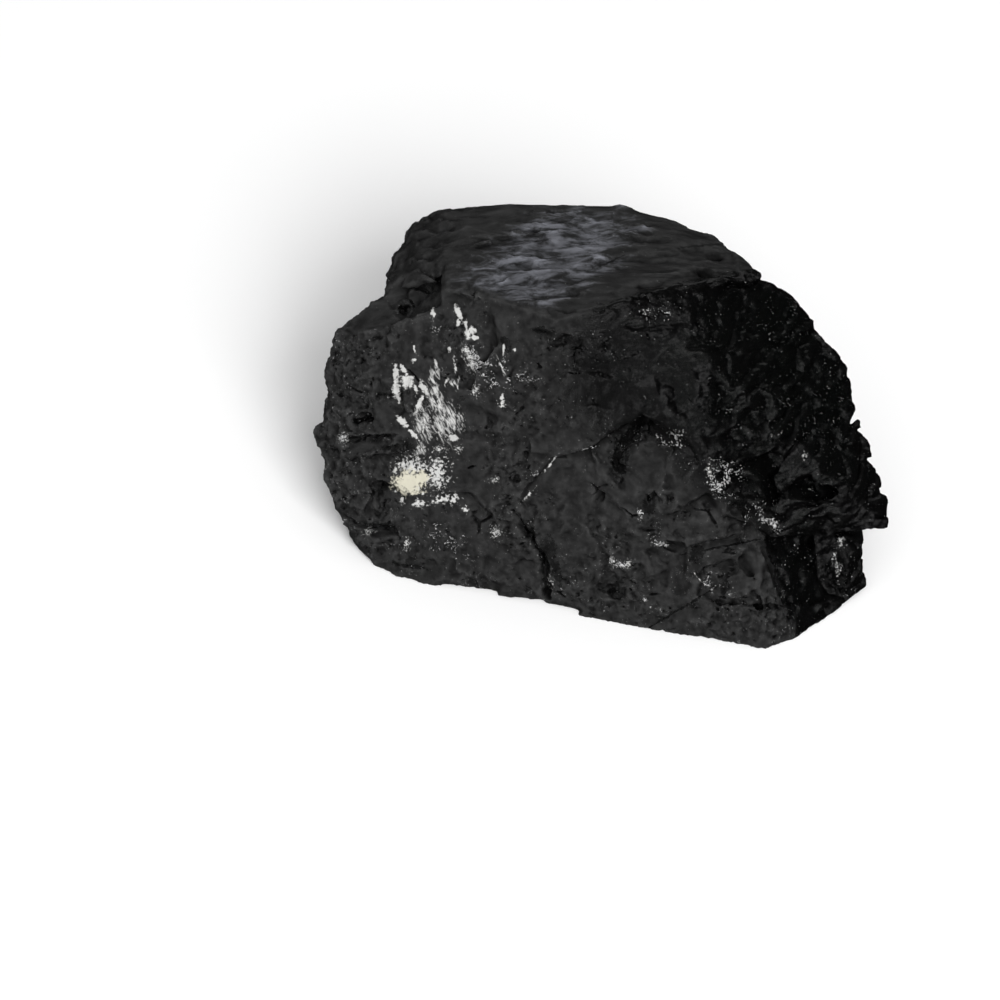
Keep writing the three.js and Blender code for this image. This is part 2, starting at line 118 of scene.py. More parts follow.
class LumpShape(bpy.types.PropertyGroup):
    """How the broken surface is made."""

    grid: FloatProperty(
        name="Grid", description="Mesh spacing before thinning", default=0.22 * MM, subtype="DISTANCE"
    )
    triangles: IntProperty(
        name="Triangles", description="Most triangles in the finished mesh", default=192000
    )
    hackle: FloatProperty(
        name="Hackle", description="Width of the small broken facets", default=2.4 * MM, subtype="DISTANCE"
    )
    relief: FloatProperty(name="Relief", description="Depth of the broken surface, 1 as found", default=1.0)
    seed: FloatProperty(name="Seed", description="Start of the random pattern", default=3.0)


class LumpColours(bpy.types.PropertyGroup):
    """Colours of the minerals."""

    charcoal: colour_property("Charcoal", "Dull black of the front", "#1e1e1e")
    # jet: a glossier black that also stands as painted shade on the right side
    jet: colour_property("Jet", "Glossy black of the right face", "#030303")
    slate: colour_property("Slate", "Grey skin of the top", "#47484d")
    feldspar: colour_property("Feldspar", "White mineral spots", "#c4c4c2")
    # mica: pale flakes whose colour is partly a painted glint
    mica: colour_property("Mica", "Silvery flakes", "#e2e2e2")
    cream: colour_property("Cream", "Warm mineral spot", "#cac6b4")


class StudioSettings(bpy.types.PropertyGroup):
    """Floor, lights and camera."""

    floor_radius: FloatProperty(name="Floor", description="Floor radius", default=3.0, subtype="DISTANCE")
    floor_colour: colour_property("Floor colour", "Pale paper", "#f6f6f6")
    key: FloatProperty(name="Key", description="Power of the large soft light", default=16.0, unit="POWER")
    wall: FloatProperty(name="Wall", description="Power of the bright wall behind", default=1.0, unit="POWER")
    tent: FloatProperty(name="Tent", description="Strength of the white tent all round", default=0.66)
    glint: FloatProperty(name="Glint", description="Power of each small light", default=0.35, unit="POWER")


# ------------------------------------------------------------------ broken surface
def sockets(tree, inputs, outputs):
    """Gives a tree its named inputs, (name, kind, default), and its outputs, (name, kind)."""
    for name, kind, default in inputs:
        socket = tree.interface.new_socket(name, in_out="INPUT", socket_type=kind)
        if default is not None:
            socket.default_value = default
    for name, kind in outputs:
        tree.interface.new_socket(name, in_out="OUTPUT", socket_type=kind)
    return list(add(tree, "NodeGroupInput").outputs)[: len(inputs)]


def facets_group():
    """Node group: hollows with flat sides that meet in ridges, as crystal breaks. Lengths are millimetres."""
    tree = bpy.data.node_groups.new("Faceted hollows", "GeometryNodeTree")
    position, turn, size, relief, seed = sockets(
        tree,
        (
            ("Position", "NodeSocketVector", (0, 0, 0)),
            ("Turn", "NodeSocketRotation", (0, 0, 0)),
            ("Size", "NodeSocketVector", (2, 2, 2)),
            ("Relief", "NodeSocketFloat", 0.3),
            ("Seed", "NodeSocketFloat", 0.0),
        ),
        (("Height", "NodeSocketFloat"),),
    )
    turned = add(tree, "FunctionNodeRotateVector", {0: position, 1: turn})
    cells = add(tree, "ShaderNodeVectorMath", {0: turned, 1: size}, operation="DIVIDE")
    moved = add(tree, "ShaderNodeVectorMath", {0: cells, 1: seed}, operation="ADD")
    voronoi = add(tree, "ShaderNodeTexVoronoi", {"Vector": moved, "Scale": 1.0}, distance="MANHATTAN")
    depth = add(tree, "ShaderNodeMath", {0: voronoi.outputs["Distance"], 1: -0.75}, operation="ADD")
    height = add(tree, "ShaderNodeMath", {0: depth, 1: relief}, operation="MULTIPLY")
    add(tree, "NodeGroupOutput", {0: height})
    return tree


def cracks_group():
    """Node group: short cracks along the borders of random cells, with the share of a crack at a place."""
    tree = bpy.data.node_groups.new("Short cracks", "GeometryNodeTree")
    position, size, width, cover, seed = sockets(
        tree,
        (
            ("Position", "NodeSocketVector", (0, 0, 0)),
            ("Size", "NodeSocketVector", (6, 6, 6)),
            ("Width", "NodeSocketFloat", 0.4),
            ("Cover", "NodeSocketFloat", 0.5),
            ("Seed", "NodeSocketFloat", 0.0),
        ),
        (("Crack", "NodeSocketFloat"), ("Nearness", "NodeSocketFloat")),
    )
    cells = add(tree, "ShaderNodeVectorMath", {0: position, 1: size}, operation="DIVIDE")
    moved = add(tree, "ShaderNodeVectorMath", {0: cells, 1: seed}, operation="ADD")
    borders = add(tree, "ShaderNodeTexVoronoi", {"Vector": moved, "Scale": 1.0}, feature="DISTANCE_TO_EDGE")
    shortest = add(tree, "ShaderNodeSeparateXYZ", {0: size})
    distance = add(
        tree, "ShaderNodeMath", {0: borders.outputs["Distance"], 1: shortest.outputs[1]}, operation="MULTIPLY"
    )
    patches = add(tree, "ShaderNodeTexNoise", {"Vector": moved, "Scale": 2.2, "Detail": 3.0})
    lucky = add(tree, "ShaderNodeMath", {0: patches, 1: cover}, operation="ADD")
    open_here = add(
        tree,
        "ShaderNodeMapRange",
        {"Value": lucky, "From Min": 0.96, "From Max": 1.06},
        interpolation_type="SMOOTHSTEP",
    )
    result = []
    for wider in (1.0, 3.2):
        reach = add(tree, "ShaderNodeMath", {0: width, 1: wider}, operation="MULTIPLY")
        wall = add(
            tree,
            "ShaderNodeMapRange",
            {"Value": distance, "From Min": 0.0, "From Max": reach, "To Min": 1.0, "To Max": 0.0},
            interpolation_type="SMOOTHSTEP",
        )
        result.append(add(tree, "ShaderNodeMath", {0: wall, 1: open_here}, operation="MULTIPLY"))
    add(tree, "NodeGroupOutput", {0: result[0], 1: result[1]})
    return tree


def ledges_group():
    """Node group: layers that end in small steps, as a stack of sheets does. Lengths are millimetres."""
    tree = bpy.data.node_groups.new("Broken layers", "GeometryNodeTree")
    position, across, thickness, relief, cover = sockets(
        tree,
        (
            ("Position", "NodeSocketVector", (0, 0, 0)),
            ("Across", "NodeSocketVector", (0, 0, 1)),
            ("Thickness", "NodeSocketFloat", 1.6),
            ("Relief", "NodeSocketFloat", 0.3),
            ("Cover", "NodeSocketFloat", 0.5),
        ),
        (("Height", "NodeSocketFloat"),),
    )
    depth = add(tree, "ShaderNodeVectorMath", {0: position, 1: across}, operation="DOT_PRODUCT")
    layers = add(tree, "ShaderNodeMath", {0: depth.outputs["Value"], 1: thickness}, operation="DIVIDE")
    wander = add(
        tree, "ShaderNodeTexNoise", {"Vector": position, "Scale": 0.13, "Detail": 3.0, "Roughness": 0.5}
    )
    shifted = add(tree, "ShaderNodeMath", {0: wander, 1: 3.5, 2: layers}, operation="MULTIPLY_ADD")
    share = add(tree, "ShaderNodeMath", {0: shifted}, operation="FRACT")
    # Each layer slopes out over most of its width and breaks off steeply over the rest.
    slope = add(tree, "ShaderNodeMath", {0: share, 1: 0.84}, operation="DIVIDE")
    back = add(tree, "ShaderNodeMath", {0: 1.0, 1: share}, operation="SUBTRACT")
    wall = add(tree, "ShaderNodeMath", {0: back, 1: 0.16}, operation="DIVIDE")
    profile = add(tree, "ShaderNodeMath", {0: slope, 1: wall}, operation="MINIMUM")
    centred = add(tree, "ShaderNodeMath", {0: profile, 1: 0.5}, operation="SUBTRACT")
    elsewhere = add(tree, "ShaderNodeVectorMath", {0: across, "Scale": 37.0}, operation="SCALE")
    patch_place = add(tree, "ShaderNodeVectorMath", {0: position, 1: elsewhere}, operation="ADD")
    patchy = add(tree, "ShaderNodeTexNoise", {"Vector": patch_place, "Scale": 0.11, "Detail": 2.0})
    covered = add(tree, "ShaderNodeMath", {0: patchy, 1: cover}, operation="ADD")
    strength = add(
        tree,
        "ShaderNodeMapRange",
        {"Value": covered, "From Min": 0.94, "From Max": 1.1},
        interpolation_type="SMOOTHSTEP",
    )
    stepped = add(tree, "ShaderNodeMath", {0: centred, 1: relief}, operation="MULTIPLY")
    height = add(tree, "ShaderNodeMath", {0: stepped, 1: strength}, operation="MULTIPLY")
    add(tree, "NodeGroupOutput", {0: height})
    return tree


# Layers of relief on each face. Facets: position, turn in degrees, width in hackle widths, relief in
# millimetres. Ledges: across, thickness, relief, cover. Waves: stretch, scale per millimetre, detail, height.
FACETS = {
    "front plates": ("slightly", (20, 35, 10), (4.2, 3.2, 3.2), 0.34),
    "front hackle": ("slightly", (-25, 50, 30), (1.0, 1.3, 1.3), 0.6),
    "front crumbs": ("finely", (40, 15, -30), (0.42, 0.5, 0.5), 0.3),
    "top slivers": ("slightly", (0, 0, 4), (3.6, 0.8, 0.8), 0.2),
    "right layers": ("slightly", (0, 12, -8), (2.6, 2.6, 0.8), 0.36),
    "right crumbs": ("finely", (30, 25, 10), (0.6, 0.6, 0.36), 0.16),
}
LEDGES = {
    "top ledges": ((0.1, 0.98, 0.2), 2.8, 0.5, 0.46),
    "right ledges": ((0.12, -0.1, 0.98), 2.2, 0.5, 0.58),
    "front blades": ((0.87, 0.41, 0.29), 4.6, 0.4, 0.44),
    "front ledges": ((-0.77, 0.52, 0.37), 6.4, 0.4, 0.42),
}
WAVES = {
    "swell": ((1, 1, 1), 0.10, 2.0, 1.1),
    "grain": ((1, 1, 1), 0.8, 6.0, 0.42),
    "top ridges": ((0.3, 1.0, 1.0), 0.5, 7.0, 0.36),
}
ON_FACE = {
    "front": ("swell", "grain", "front plates", "front blades", "front ledges"),
    "front, rough": ("front hackle", "front crumbs"),
    "right": ("swell", "right layers", "right crumbs", "right ledges"),
    "top": ("swell", "top ridges", "top slivers", "top ledges"),
}

# Cracks: size of the blocks between them, width, cover and depth. Then the depth of the pits.
CRACK_CELLS = (9.0, 6.0, 6.0)
CRACK_WIDTH = 0.2
CRACK_COVER = 0.38
CRACK_DEPTH = 0.5
PIT_DEPTH = 0.45

# The ridge in front of the top, as two arms: slope, and y at x = 0. Then how softly it ends, between which
# heights the crown starts and between which x the shoulder at the left does.
RIDGE_ARMS = ((-0.512, -1.1), (0.435, 3.98))
RIDGE_EDGE = (0.6, 2.2)
CROWN_HEIGHTS = (32.0, 37.0)
SHOULDER_START = (-20.0, -24.0)

# Lines that climb the stone, as x over LINE_WIDTH against height over LINE_HEIGHT: offset of x, where the
# change starts and ends beside the line, the two ends, and the points between.
LINE_WIDTH = 50.0
LINE_HEIGHT = 44.0
LINES = {
    "right": (
        0.0,
        (-2.0, 6.0),
        (0.59, 0.2),
        ((0.16, 0.57), (0.32, 0.51), (0.44, 0.444), (0.67, 0.30), (0.86, 0.326)),
    ),
    "jet_and_shade": (
        -20.0,
        (-9.0, 5.0),
        (1.0, 0.41),
        (
            (0.11, 0.97), (0.2, 0.94), (0.31, 0.89), (0.43, 0.8),
            (0.5, 0.7), (0.57, 0.58), (0.64, 0.4), (0.72, 0.32),
        ),
    ),
}

# Narrow slots that are rubbed nearly flush: centre and radius in millimetres.
RUBBED_SLOTS = (((22.6, -21.6, 11.1), 3.2), ((17.2, -17.4, 16.0), 2.8), ((17.7, 19.2, 37.5), 3.2))

# How many times the surface is averaged: to wear its edges, to rub slots flush, to find the way it faces
# nearby and broadly, and to find its near and its wide surroundings.
WEAR_STEPS = 6
FLUSH_STEPS = 90
NEARBY_STEPS = 10
BROAD_STEPS = 60
HOLLOW_STEPS = {"hollow": 14, "deep": 70}


def fracture_tree(material):
    """Geometry nodes that break a lump's surface into plates, hackle, ledges and cracks."""
    tree = bpy.data.node_groups.new("Fractured tourmaline", "GeometryNodeTree")
    surface, hackle, relief, seed = sockets(
        tree,
        (
            ("Geometry", "NodeSocketGeometry", None),
            ("Hackle", "NodeSocketFloat", 2.4),
            ("Relief", "NodeSocketFloat", 1.0),
            ("Seed", "NodeSocketFloat", 3.0),
        ),
        (("Geometry", "NodeSocketGeometry"),),
    )

    # Edges are worn by a few tenths of a millimetre before they are broken again.
    corners = add(tree, "GeometryNodeInputPosition")
    worn = add(
        tree,
        "GeometryNodeBlurAttribute",
        {"Value": corners, "Iterations": WEAR_STEPS},
        data_type="FLOAT_VECTOR",
    )
    flush = add(
        tree,
        "GeometryNodeBlurAttribute",
        {"Value": worn, "Iterations": FLUSH_STEPS},
        data_type="FLOAT_VECTOR",
    )
    corner = add(tree, "ShaderNodeVectorMath", {0: corners, "Scale": 1 / MM}, operation="SCALE")
    rubbed = None
    for centre, radius in RUBBED_SLOTS:
        away = add(tree, "ShaderNodeVectorMath", {0: corner, 1: centre}, operation="DISTANCE")
        here = add(
            tree,
            "ShaderNodeMapRange",
            {"Value": away.outputs["Value"], "From Min": radius, "From Max": 0.6 * radius},
        )
        if rubbed is not None:
            here = add(tree, "ShaderNodeMath", {0: rubbed, 1: here}, operation="MAXIMUM")
        rubbed = here
    rounder = add(tree, "ShaderNodeMix", {0: rubbed, 4: worn, 5: flush}, data_type="VECTOR")
    rounded = add(tree, "GeometryNodeSetPosition", {"Geometry": surface, "Position": rounder.outputs[1]})

    place = add(tree, "GeometryNodeInputPosition")
    point = add(tree, "ShaderNodeVectorMath", {0: place, "Scale": 1 / MM}, operation="SCALE")
    warped = {}
    for name, scale, detail, sway in (("slightly", 0.15, 3.0, 2.0), ("finely", 0.5, 4.0, 2.2)):
        noise = add(tree, "ShaderNodeTexNoise", {"Vector": point, "Scale": scale, "Detail": detail})
        centred = add(
            tree,
            "ShaderNodeVectorMath",
            {0: noise.outputs["Color"], 1: (sway,) * 3, 2: (-sway / 2,) * 3},
            operation="MULTIPLY_ADD",
        )
        warped[name] = add(tree, "ShaderNodeVectorMath", {0: centred, 1: point}, operation="ADD")
    normal = add(tree, "GeometryNodeInputNormal")
    smooth = add(
        tree,
        "GeometryNodeBlurAttribute",
        {"Value": normal, "Iterations": NEARBY_STEPS},
        data_type="FLOAT_VECTOR",
    )
    direction = add(tree, "ShaderNodeVectorMath", {0: smooth}, operation="NORMALIZE")
    smoother = add(
        tree,
        "GeometryNodeBlurAttribute",
        {"Value": direction, "Iterations": BROAD_STEPS},
        data_type="FLOAT_VECTOR",
    )
    broadly = add(tree, "ShaderNodeVectorMath", {0: smoother}, operation="NORMALIZE")
    bend = add(tree, "ShaderNodeVectorMath", {0: direction, 1: broadly}, operation="DOT_PRODUCT")
    steep = add(
        tree, "ShaderNodeMapRange", {"Value": bend.outputs["Value"], "From Min": 0.96, "From Max": 0.84}
    )
    x, y, z = add(tree, "ShaderNodeSeparateXYZ", {0: warped["slightly"]}).outputs

    # The top lies behind a ridge that runs in a shallow V across the stone.
    arms = [
        add(tree, "ShaderNodeMath", {0: x, 1: slope, 2: start}, operation="MULTIPLY_ADD")
        for slope, start in RIDGE_ARMS
    ]
    ridge = add(tree, "ShaderNodeMath", {0: arms[0], 1: arms[1]}, operation="MAXIMUM")
    behind = add(tree, "ShaderNodeMath", {0: y, 1: ridge}, operation="SUBTRACT")
    back_of_ridge = add(
        tree,
        "ShaderNodeMapRange",
        {"Value": behind, "From Min": RIDGE_EDGE[0], "From Max": RIDGE_EDGE[1]},
        interpolation_type="SMOOTHSTEP",
    )
    high = add(
        tree, "ShaderNodeMapRange", {"Value": z, "From Min": CROWN_HEIGHTS[0], "From Max": CROWN_HEIGHTS[1]}
    )
    crown = add(tree, "ShaderNodeMath", {0: back_of_ridge, 1: high}, operation="MULTIPLY")
    upward = add(
        tree,
        "ShaderNodeMapRange",
        {
            "Value": add(tree, "ShaderNodeSeparateXYZ", {0: direction}).outputs[2],
            "From Min": 0.8,
            "From Max": 0.92,
        },
        interpolation_type="SMOOTHSTEP",
    )
    at_left = add(
        tree, "ShaderNodeMapRange", {"Value": x, "From Min": SHOULDER_START[0], "From Max": SHOULDER_START[1]}
    )
    shoulder = add(tree, "ShaderNodeMath", {0: upward, 1: at_left}, operation="MULTIPLY")
    top = add(tree, "ShaderNodeMath", {0: crown, 1: shoulder}, operation="MAXIMUM")

    # Two lines climb the stone: the arris where the right face starts, and the line past which the colour
    # darkens to jet, a glossier black that also stands as painted shade on the right side.
    level = add(tree, "ShaderNodeMath", {0: z, 1: LINE_HEIGHT}, operation="DIVIDE")
    sharper = add(
        tree,
        "ShaderNodeMapRange",
        {"Value": z, "From Min": 13.0, "From Max": 20.0, "To Min": 6.0, "To Max": 1.0},
    )
    beyond = {}
    for name, (offset, reach, ends, between) in LINES.items():
        line = add(tree, "ShaderNodeFloatCurve", {"Factor": 1.0, "Value": level})
        curve = line.mapping.curves[0]
        for share, across in between:
            curve.points.new(share, across)
        curve.points[0].location = (0.0, ends[0])
        curve.points[-1].location = (1.0, ends[1])
        line.mapping.update()
        line_x = add(tree, "ShaderNodeMath", {0: line, 1: LINE_WIDTH, 2: offset}, operation="MULTIPLY_ADD")
        past = add(tree, "ShaderNodeMath", {0: x, 1: line_x}, operation="SUBTRACT")
        past = add(tree, "ShaderNodeMath", {0: past, 1: sharper}, operation="MULTIPLY")
        beyond[name] = add(
            tree,
            "ShaderNodeMapRange",
            {"Value": past, "From Min": reach[0], "From Max": reach[1]},
            interpolation_type="SMOOTHSTEP",
        )
    jet_and_shade = beyond["jet_and_shade"]
    not_top = add(tree, "ShaderNodeMath", {0: 1.0, 1: top}, operation="SUBTRACT")
    right = add(tree, "ShaderNodeMath", {0: beyond["right"], 1: not_top}, operation="MULTIPLY")

    # Smooth cleaved plates lie between rough patches.
    patches = add(
        tree, "ShaderNodeTexNoise", {"Vector": point, "Scale": 0.13, "Detail": 4.0, "Roughness": 0.6}
    )
    at_end = add(
        tree, "ShaderNodeMapRange", {"Value": x, "From Min": -26.0, "From Max": -42.0, "To Max": 0.2}
    )
    at_foot = add(tree, "ShaderNodeMapRange", {"Value": z, "From Min": 12.0, "From Max": 1.0, "To Max": 0.1})
    broken = add(tree, "ShaderNodeMath", {0: at_end, 1: at_foot}, operation="MAXIMUM")
    patchy = add(tree, "ShaderNodeMath", {0: patches, 1: broken}, operation="ADD")
    rough = add(
        tree,
        "ShaderNodeMapRange",
        {"Value": patchy, "From Min": 0.48, "From Max": 0.62, "To Min": 0.06, "To Max": 1.0},
        interpolation_type="SMOOTHSTEP",
    )

    heights = {}
    facets = facets_group()
    for name, (where, turn, widths, depth) in FACETS.items():
        turn = tuple(math.radians(angle) for angle in turn)
        cell = add(tree, "ShaderNodeVectorMath", {0: widths, "Scale": hackle}, operation="SCALE")
        heights[name] = add(
            tree,
            "GeometryNodeGroup",
            {"Position": warped[where], "Turn": turn, "Size": cell, "Relief": depth, "Seed": seed},
            node_tree=facets,
        )
    ledges = ledges_group()
    for name, (across, thickness, depth, cover) in LEDGES.items():
        heights[name] = add(
            tree,
            "GeometryNodeGroup",
            {
                "Position": warped["slightly"],
                "Across": across,
                "Thickness": thickness,
                "Relief": depth,
                "Cover": cover,
            },
            node_tree=ledges,
        )
    for name, (stretch, scale, detail, depth) in WAVES.items():
        drawn = add(tree, "ShaderNodeVectorMath", {0: warped["slightly"], 1: stretch}, operation="MULTIPLY")
        noise = add(tree, "ShaderNodeTexNoise", {"Vector": drawn, "Scale": scale, "Detail": detail})
        heights[name] = add(
            tree, "ShaderNodeMath", {0: noise, 1: depth, 2: -depth / 2}, operation="MULTIPLY_ADD"
        )
    sums = {}
    for face, names in ON_FACE.items():
        sums[face] = heights[names[0]]
        for name in names[1:]:
            sums[face] = add(tree, "ShaderNodeMath", {0: sums[face], 1: heights[name]}, operation="ADD")
    front = add(
        tree,
        "ShaderNodeMath",
        {0: sums["front, rough"], 1: rough, 2: sums["front"]},
        operation="MULTIPLY_ADD",
    )

    # Cracks, deepest in the rough patches of the front.
    cracks = add(
        tree,
        "GeometryNodeGroup",
        {
            "Position": warped["slightly"],
            "Size": CRACK_CELLS,
            "Width": CRACK_WIDTH,
            "Cover": CRACK_COVER,
            "Seed": seed,
        },
        node_tree=cracks_group(),
    )
    cut = add(
        tree,
        "ShaderNodeMath",
        {0: cracks.outputs["Crack"], 1: -CRACK_DEPTH, 2: front},
        operation="MULTIPLY_ADD",
    )
    pits = add(
        tree,
        "ShaderNodeTexNoise",
        {"Vector": warped["finely"], "Scale": 0.9, "Detail": 4.0, "Roughness": 0.65},
    )
    pitted = add(
        tree,
        "ShaderNodeMapRange",
        {"Value": pits, "From Min": 0.58, "From Max": 0.72, "To Min": 0.0, "To Max": -PIT_DEPTH},
        interpolation_type="SMOOTHSTEP",
    )
    pit = add(tree, "ShaderNodeMath", {0: pitted, 1: rough, 2: cut}, operation="MULTIPLY_ADD")

    side = add(tree, "ShaderNodeMix", {0: right, 2: pit, 3: sums["right"]}, data_type="FLOAT")
    height = add(tree, "ShaderNodeMix", {0: top, 2: side, 3: sums["top"]}, data_type="FLOAT")
    scaled = add(tree, "ShaderNodeMath", {0: height, 1: relief}, operation="MULTIPLY")
    foot = add(
        tree,
        "ShaderNodeMapRange",
        {"Value": add(tree, "ShaderNodeSeparateXYZ", {0: point}).outputs[2], "From Max": 2.5, "To Min": 0.4},
    )
    metres = add(tree, "ShaderNodeMath", {0: scaled, 1: MM}, operation="MULTIPLY")
    faded = add(tree, "ShaderNodeMath", {0: metres, 1: foot}, operation="MULTIPLY")
    push = add(tree, "ShaderNodeVectorMath", {0: direction, "Scale": faded}, operation="SCALE")

    # What the material needs to know of a place.
    marked = rounded
    facts = {
        "top_face": top,
        "jet_and_shaded_side": jet_and_shade,
        "rough_patch": rough,
        "near_crack": cracks.outputs["Nearness"],
        "steep": steep,
    }
    for name, value in facts.items():
        marked = add(
            tree,
            "GeometryNodeStoreNamedAttribute",
            {"Geometry": marked, "Name": name, "Value": value},
            data_type="FLOAT",
            domain="POINT",
        )
    moved = add(tree, "GeometryNodeSetPosition", {"Geometry": marked, "Offset": push})

    # How far a place lies below its near and its wide surroundings, in tenths of a millimetre: hollows above
    # 0, edges below.
    found = add(tree, "GeometryNodeInputPosition")
    outward = add(tree, "GeometryNodeInputNormal")
    measured = moved
    for name, steps in HOLLOW_STEPS.items():
        around = add(
            tree, "GeometryNodeBlurAttribute", {"Value": found, "Iterations": steps}, data_type="FLOAT_VECTOR"
        )
        gap = add(tree, "ShaderNodeVectorMath", {0: around, 1: found}, operation="SUBTRACT")
        below = add(tree, "ShaderNodeVectorMath", {0: gap, 1: outward}, operation="DOT_PRODUCT")
        tenths = add(tree, "ShaderNodeMath", {0: below.outputs["Value"], 1: 0.1 * MM}, operation="DIVIDE")
        measured = add(
            tree,
            "GeometryNodeStoreNamedAttribute",
            {"Geometry": measured, "Name": name, "Value": tenths},
            data_type="FLOAT",
            domain="POINT",
        )
    real = add(tree, "GeometryNodeRealizeInstances", {0: measured})
    dressed = add(tree, "GeometryNodeSetMaterial", {"Geometry": real, "Material": material})
    add(tree, "NodeGroupOutput", {0: dressed})
    return tree


def bake_modifiers(piece):
    """Puts the result of a piece's modifiers in its mesh and removes them."""
    graph = bpy.context.evaluated_depsgraph_get()
    result = piece.evaluated_get(graph)
    mesh = bpy.data.meshes.new_from_object(result, preserve_all_data_layers=True, depsgraph=graph)
    piece.modifiers.clear()
    piece.data = mesh


def merged_copy(node, name):
    """A copy of a CAD node whose loose triangles are joined."""
    piece = bpy.data.objects.new(name, node.data.copy())
    bpy.context.scene.collection.objects.link(piece)
    weld = piece.modifiers.new("Weld", "WELD")
    weld.merge_threshold = WELD_REACH
    bake_modifiers(piece)
    return piece


def keep_inside(mesh):
    """Holds every vertex in the CAD solid's box, so that the stone stands on its flat underside."""
    low, high = (np.array(corner) for corner in CAD_BOX)
    places = np.empty(len(mesh.vertices) * 3)
    mesh.vertices.foreach_get("co", places)
    places = np.clip(places.reshape(-1, 3), low, high)
    mesh.vertices.foreach_set("co", places.ravel())
    mesh.update()


# ------------------------------------------------------------------ minerals
SCHORL_IOR = 1.63
# How rough each finish is: the worn front from its shiniest to its dullest, fresh breaks, the slate skin, mica
# and feldspar. Then how metallic a flake of mica looks.
SATIN = (0.3, 0.5)
VITREOUS = 0.2
SLATY = 0.5
SILVERY = 0.12
CHALKY = 0.75
MICA_SHEEN = 0.4
# Mica: flakes and their tilts to a millimetre, and how high the noise has to rise for a flake where mica is
# rarest and where it is thickest.
FLAKES_PER_MM = 3.2
TILTS_PER_MM = 3.4
FLAKE_LEVEL = (0.712, 0.46)
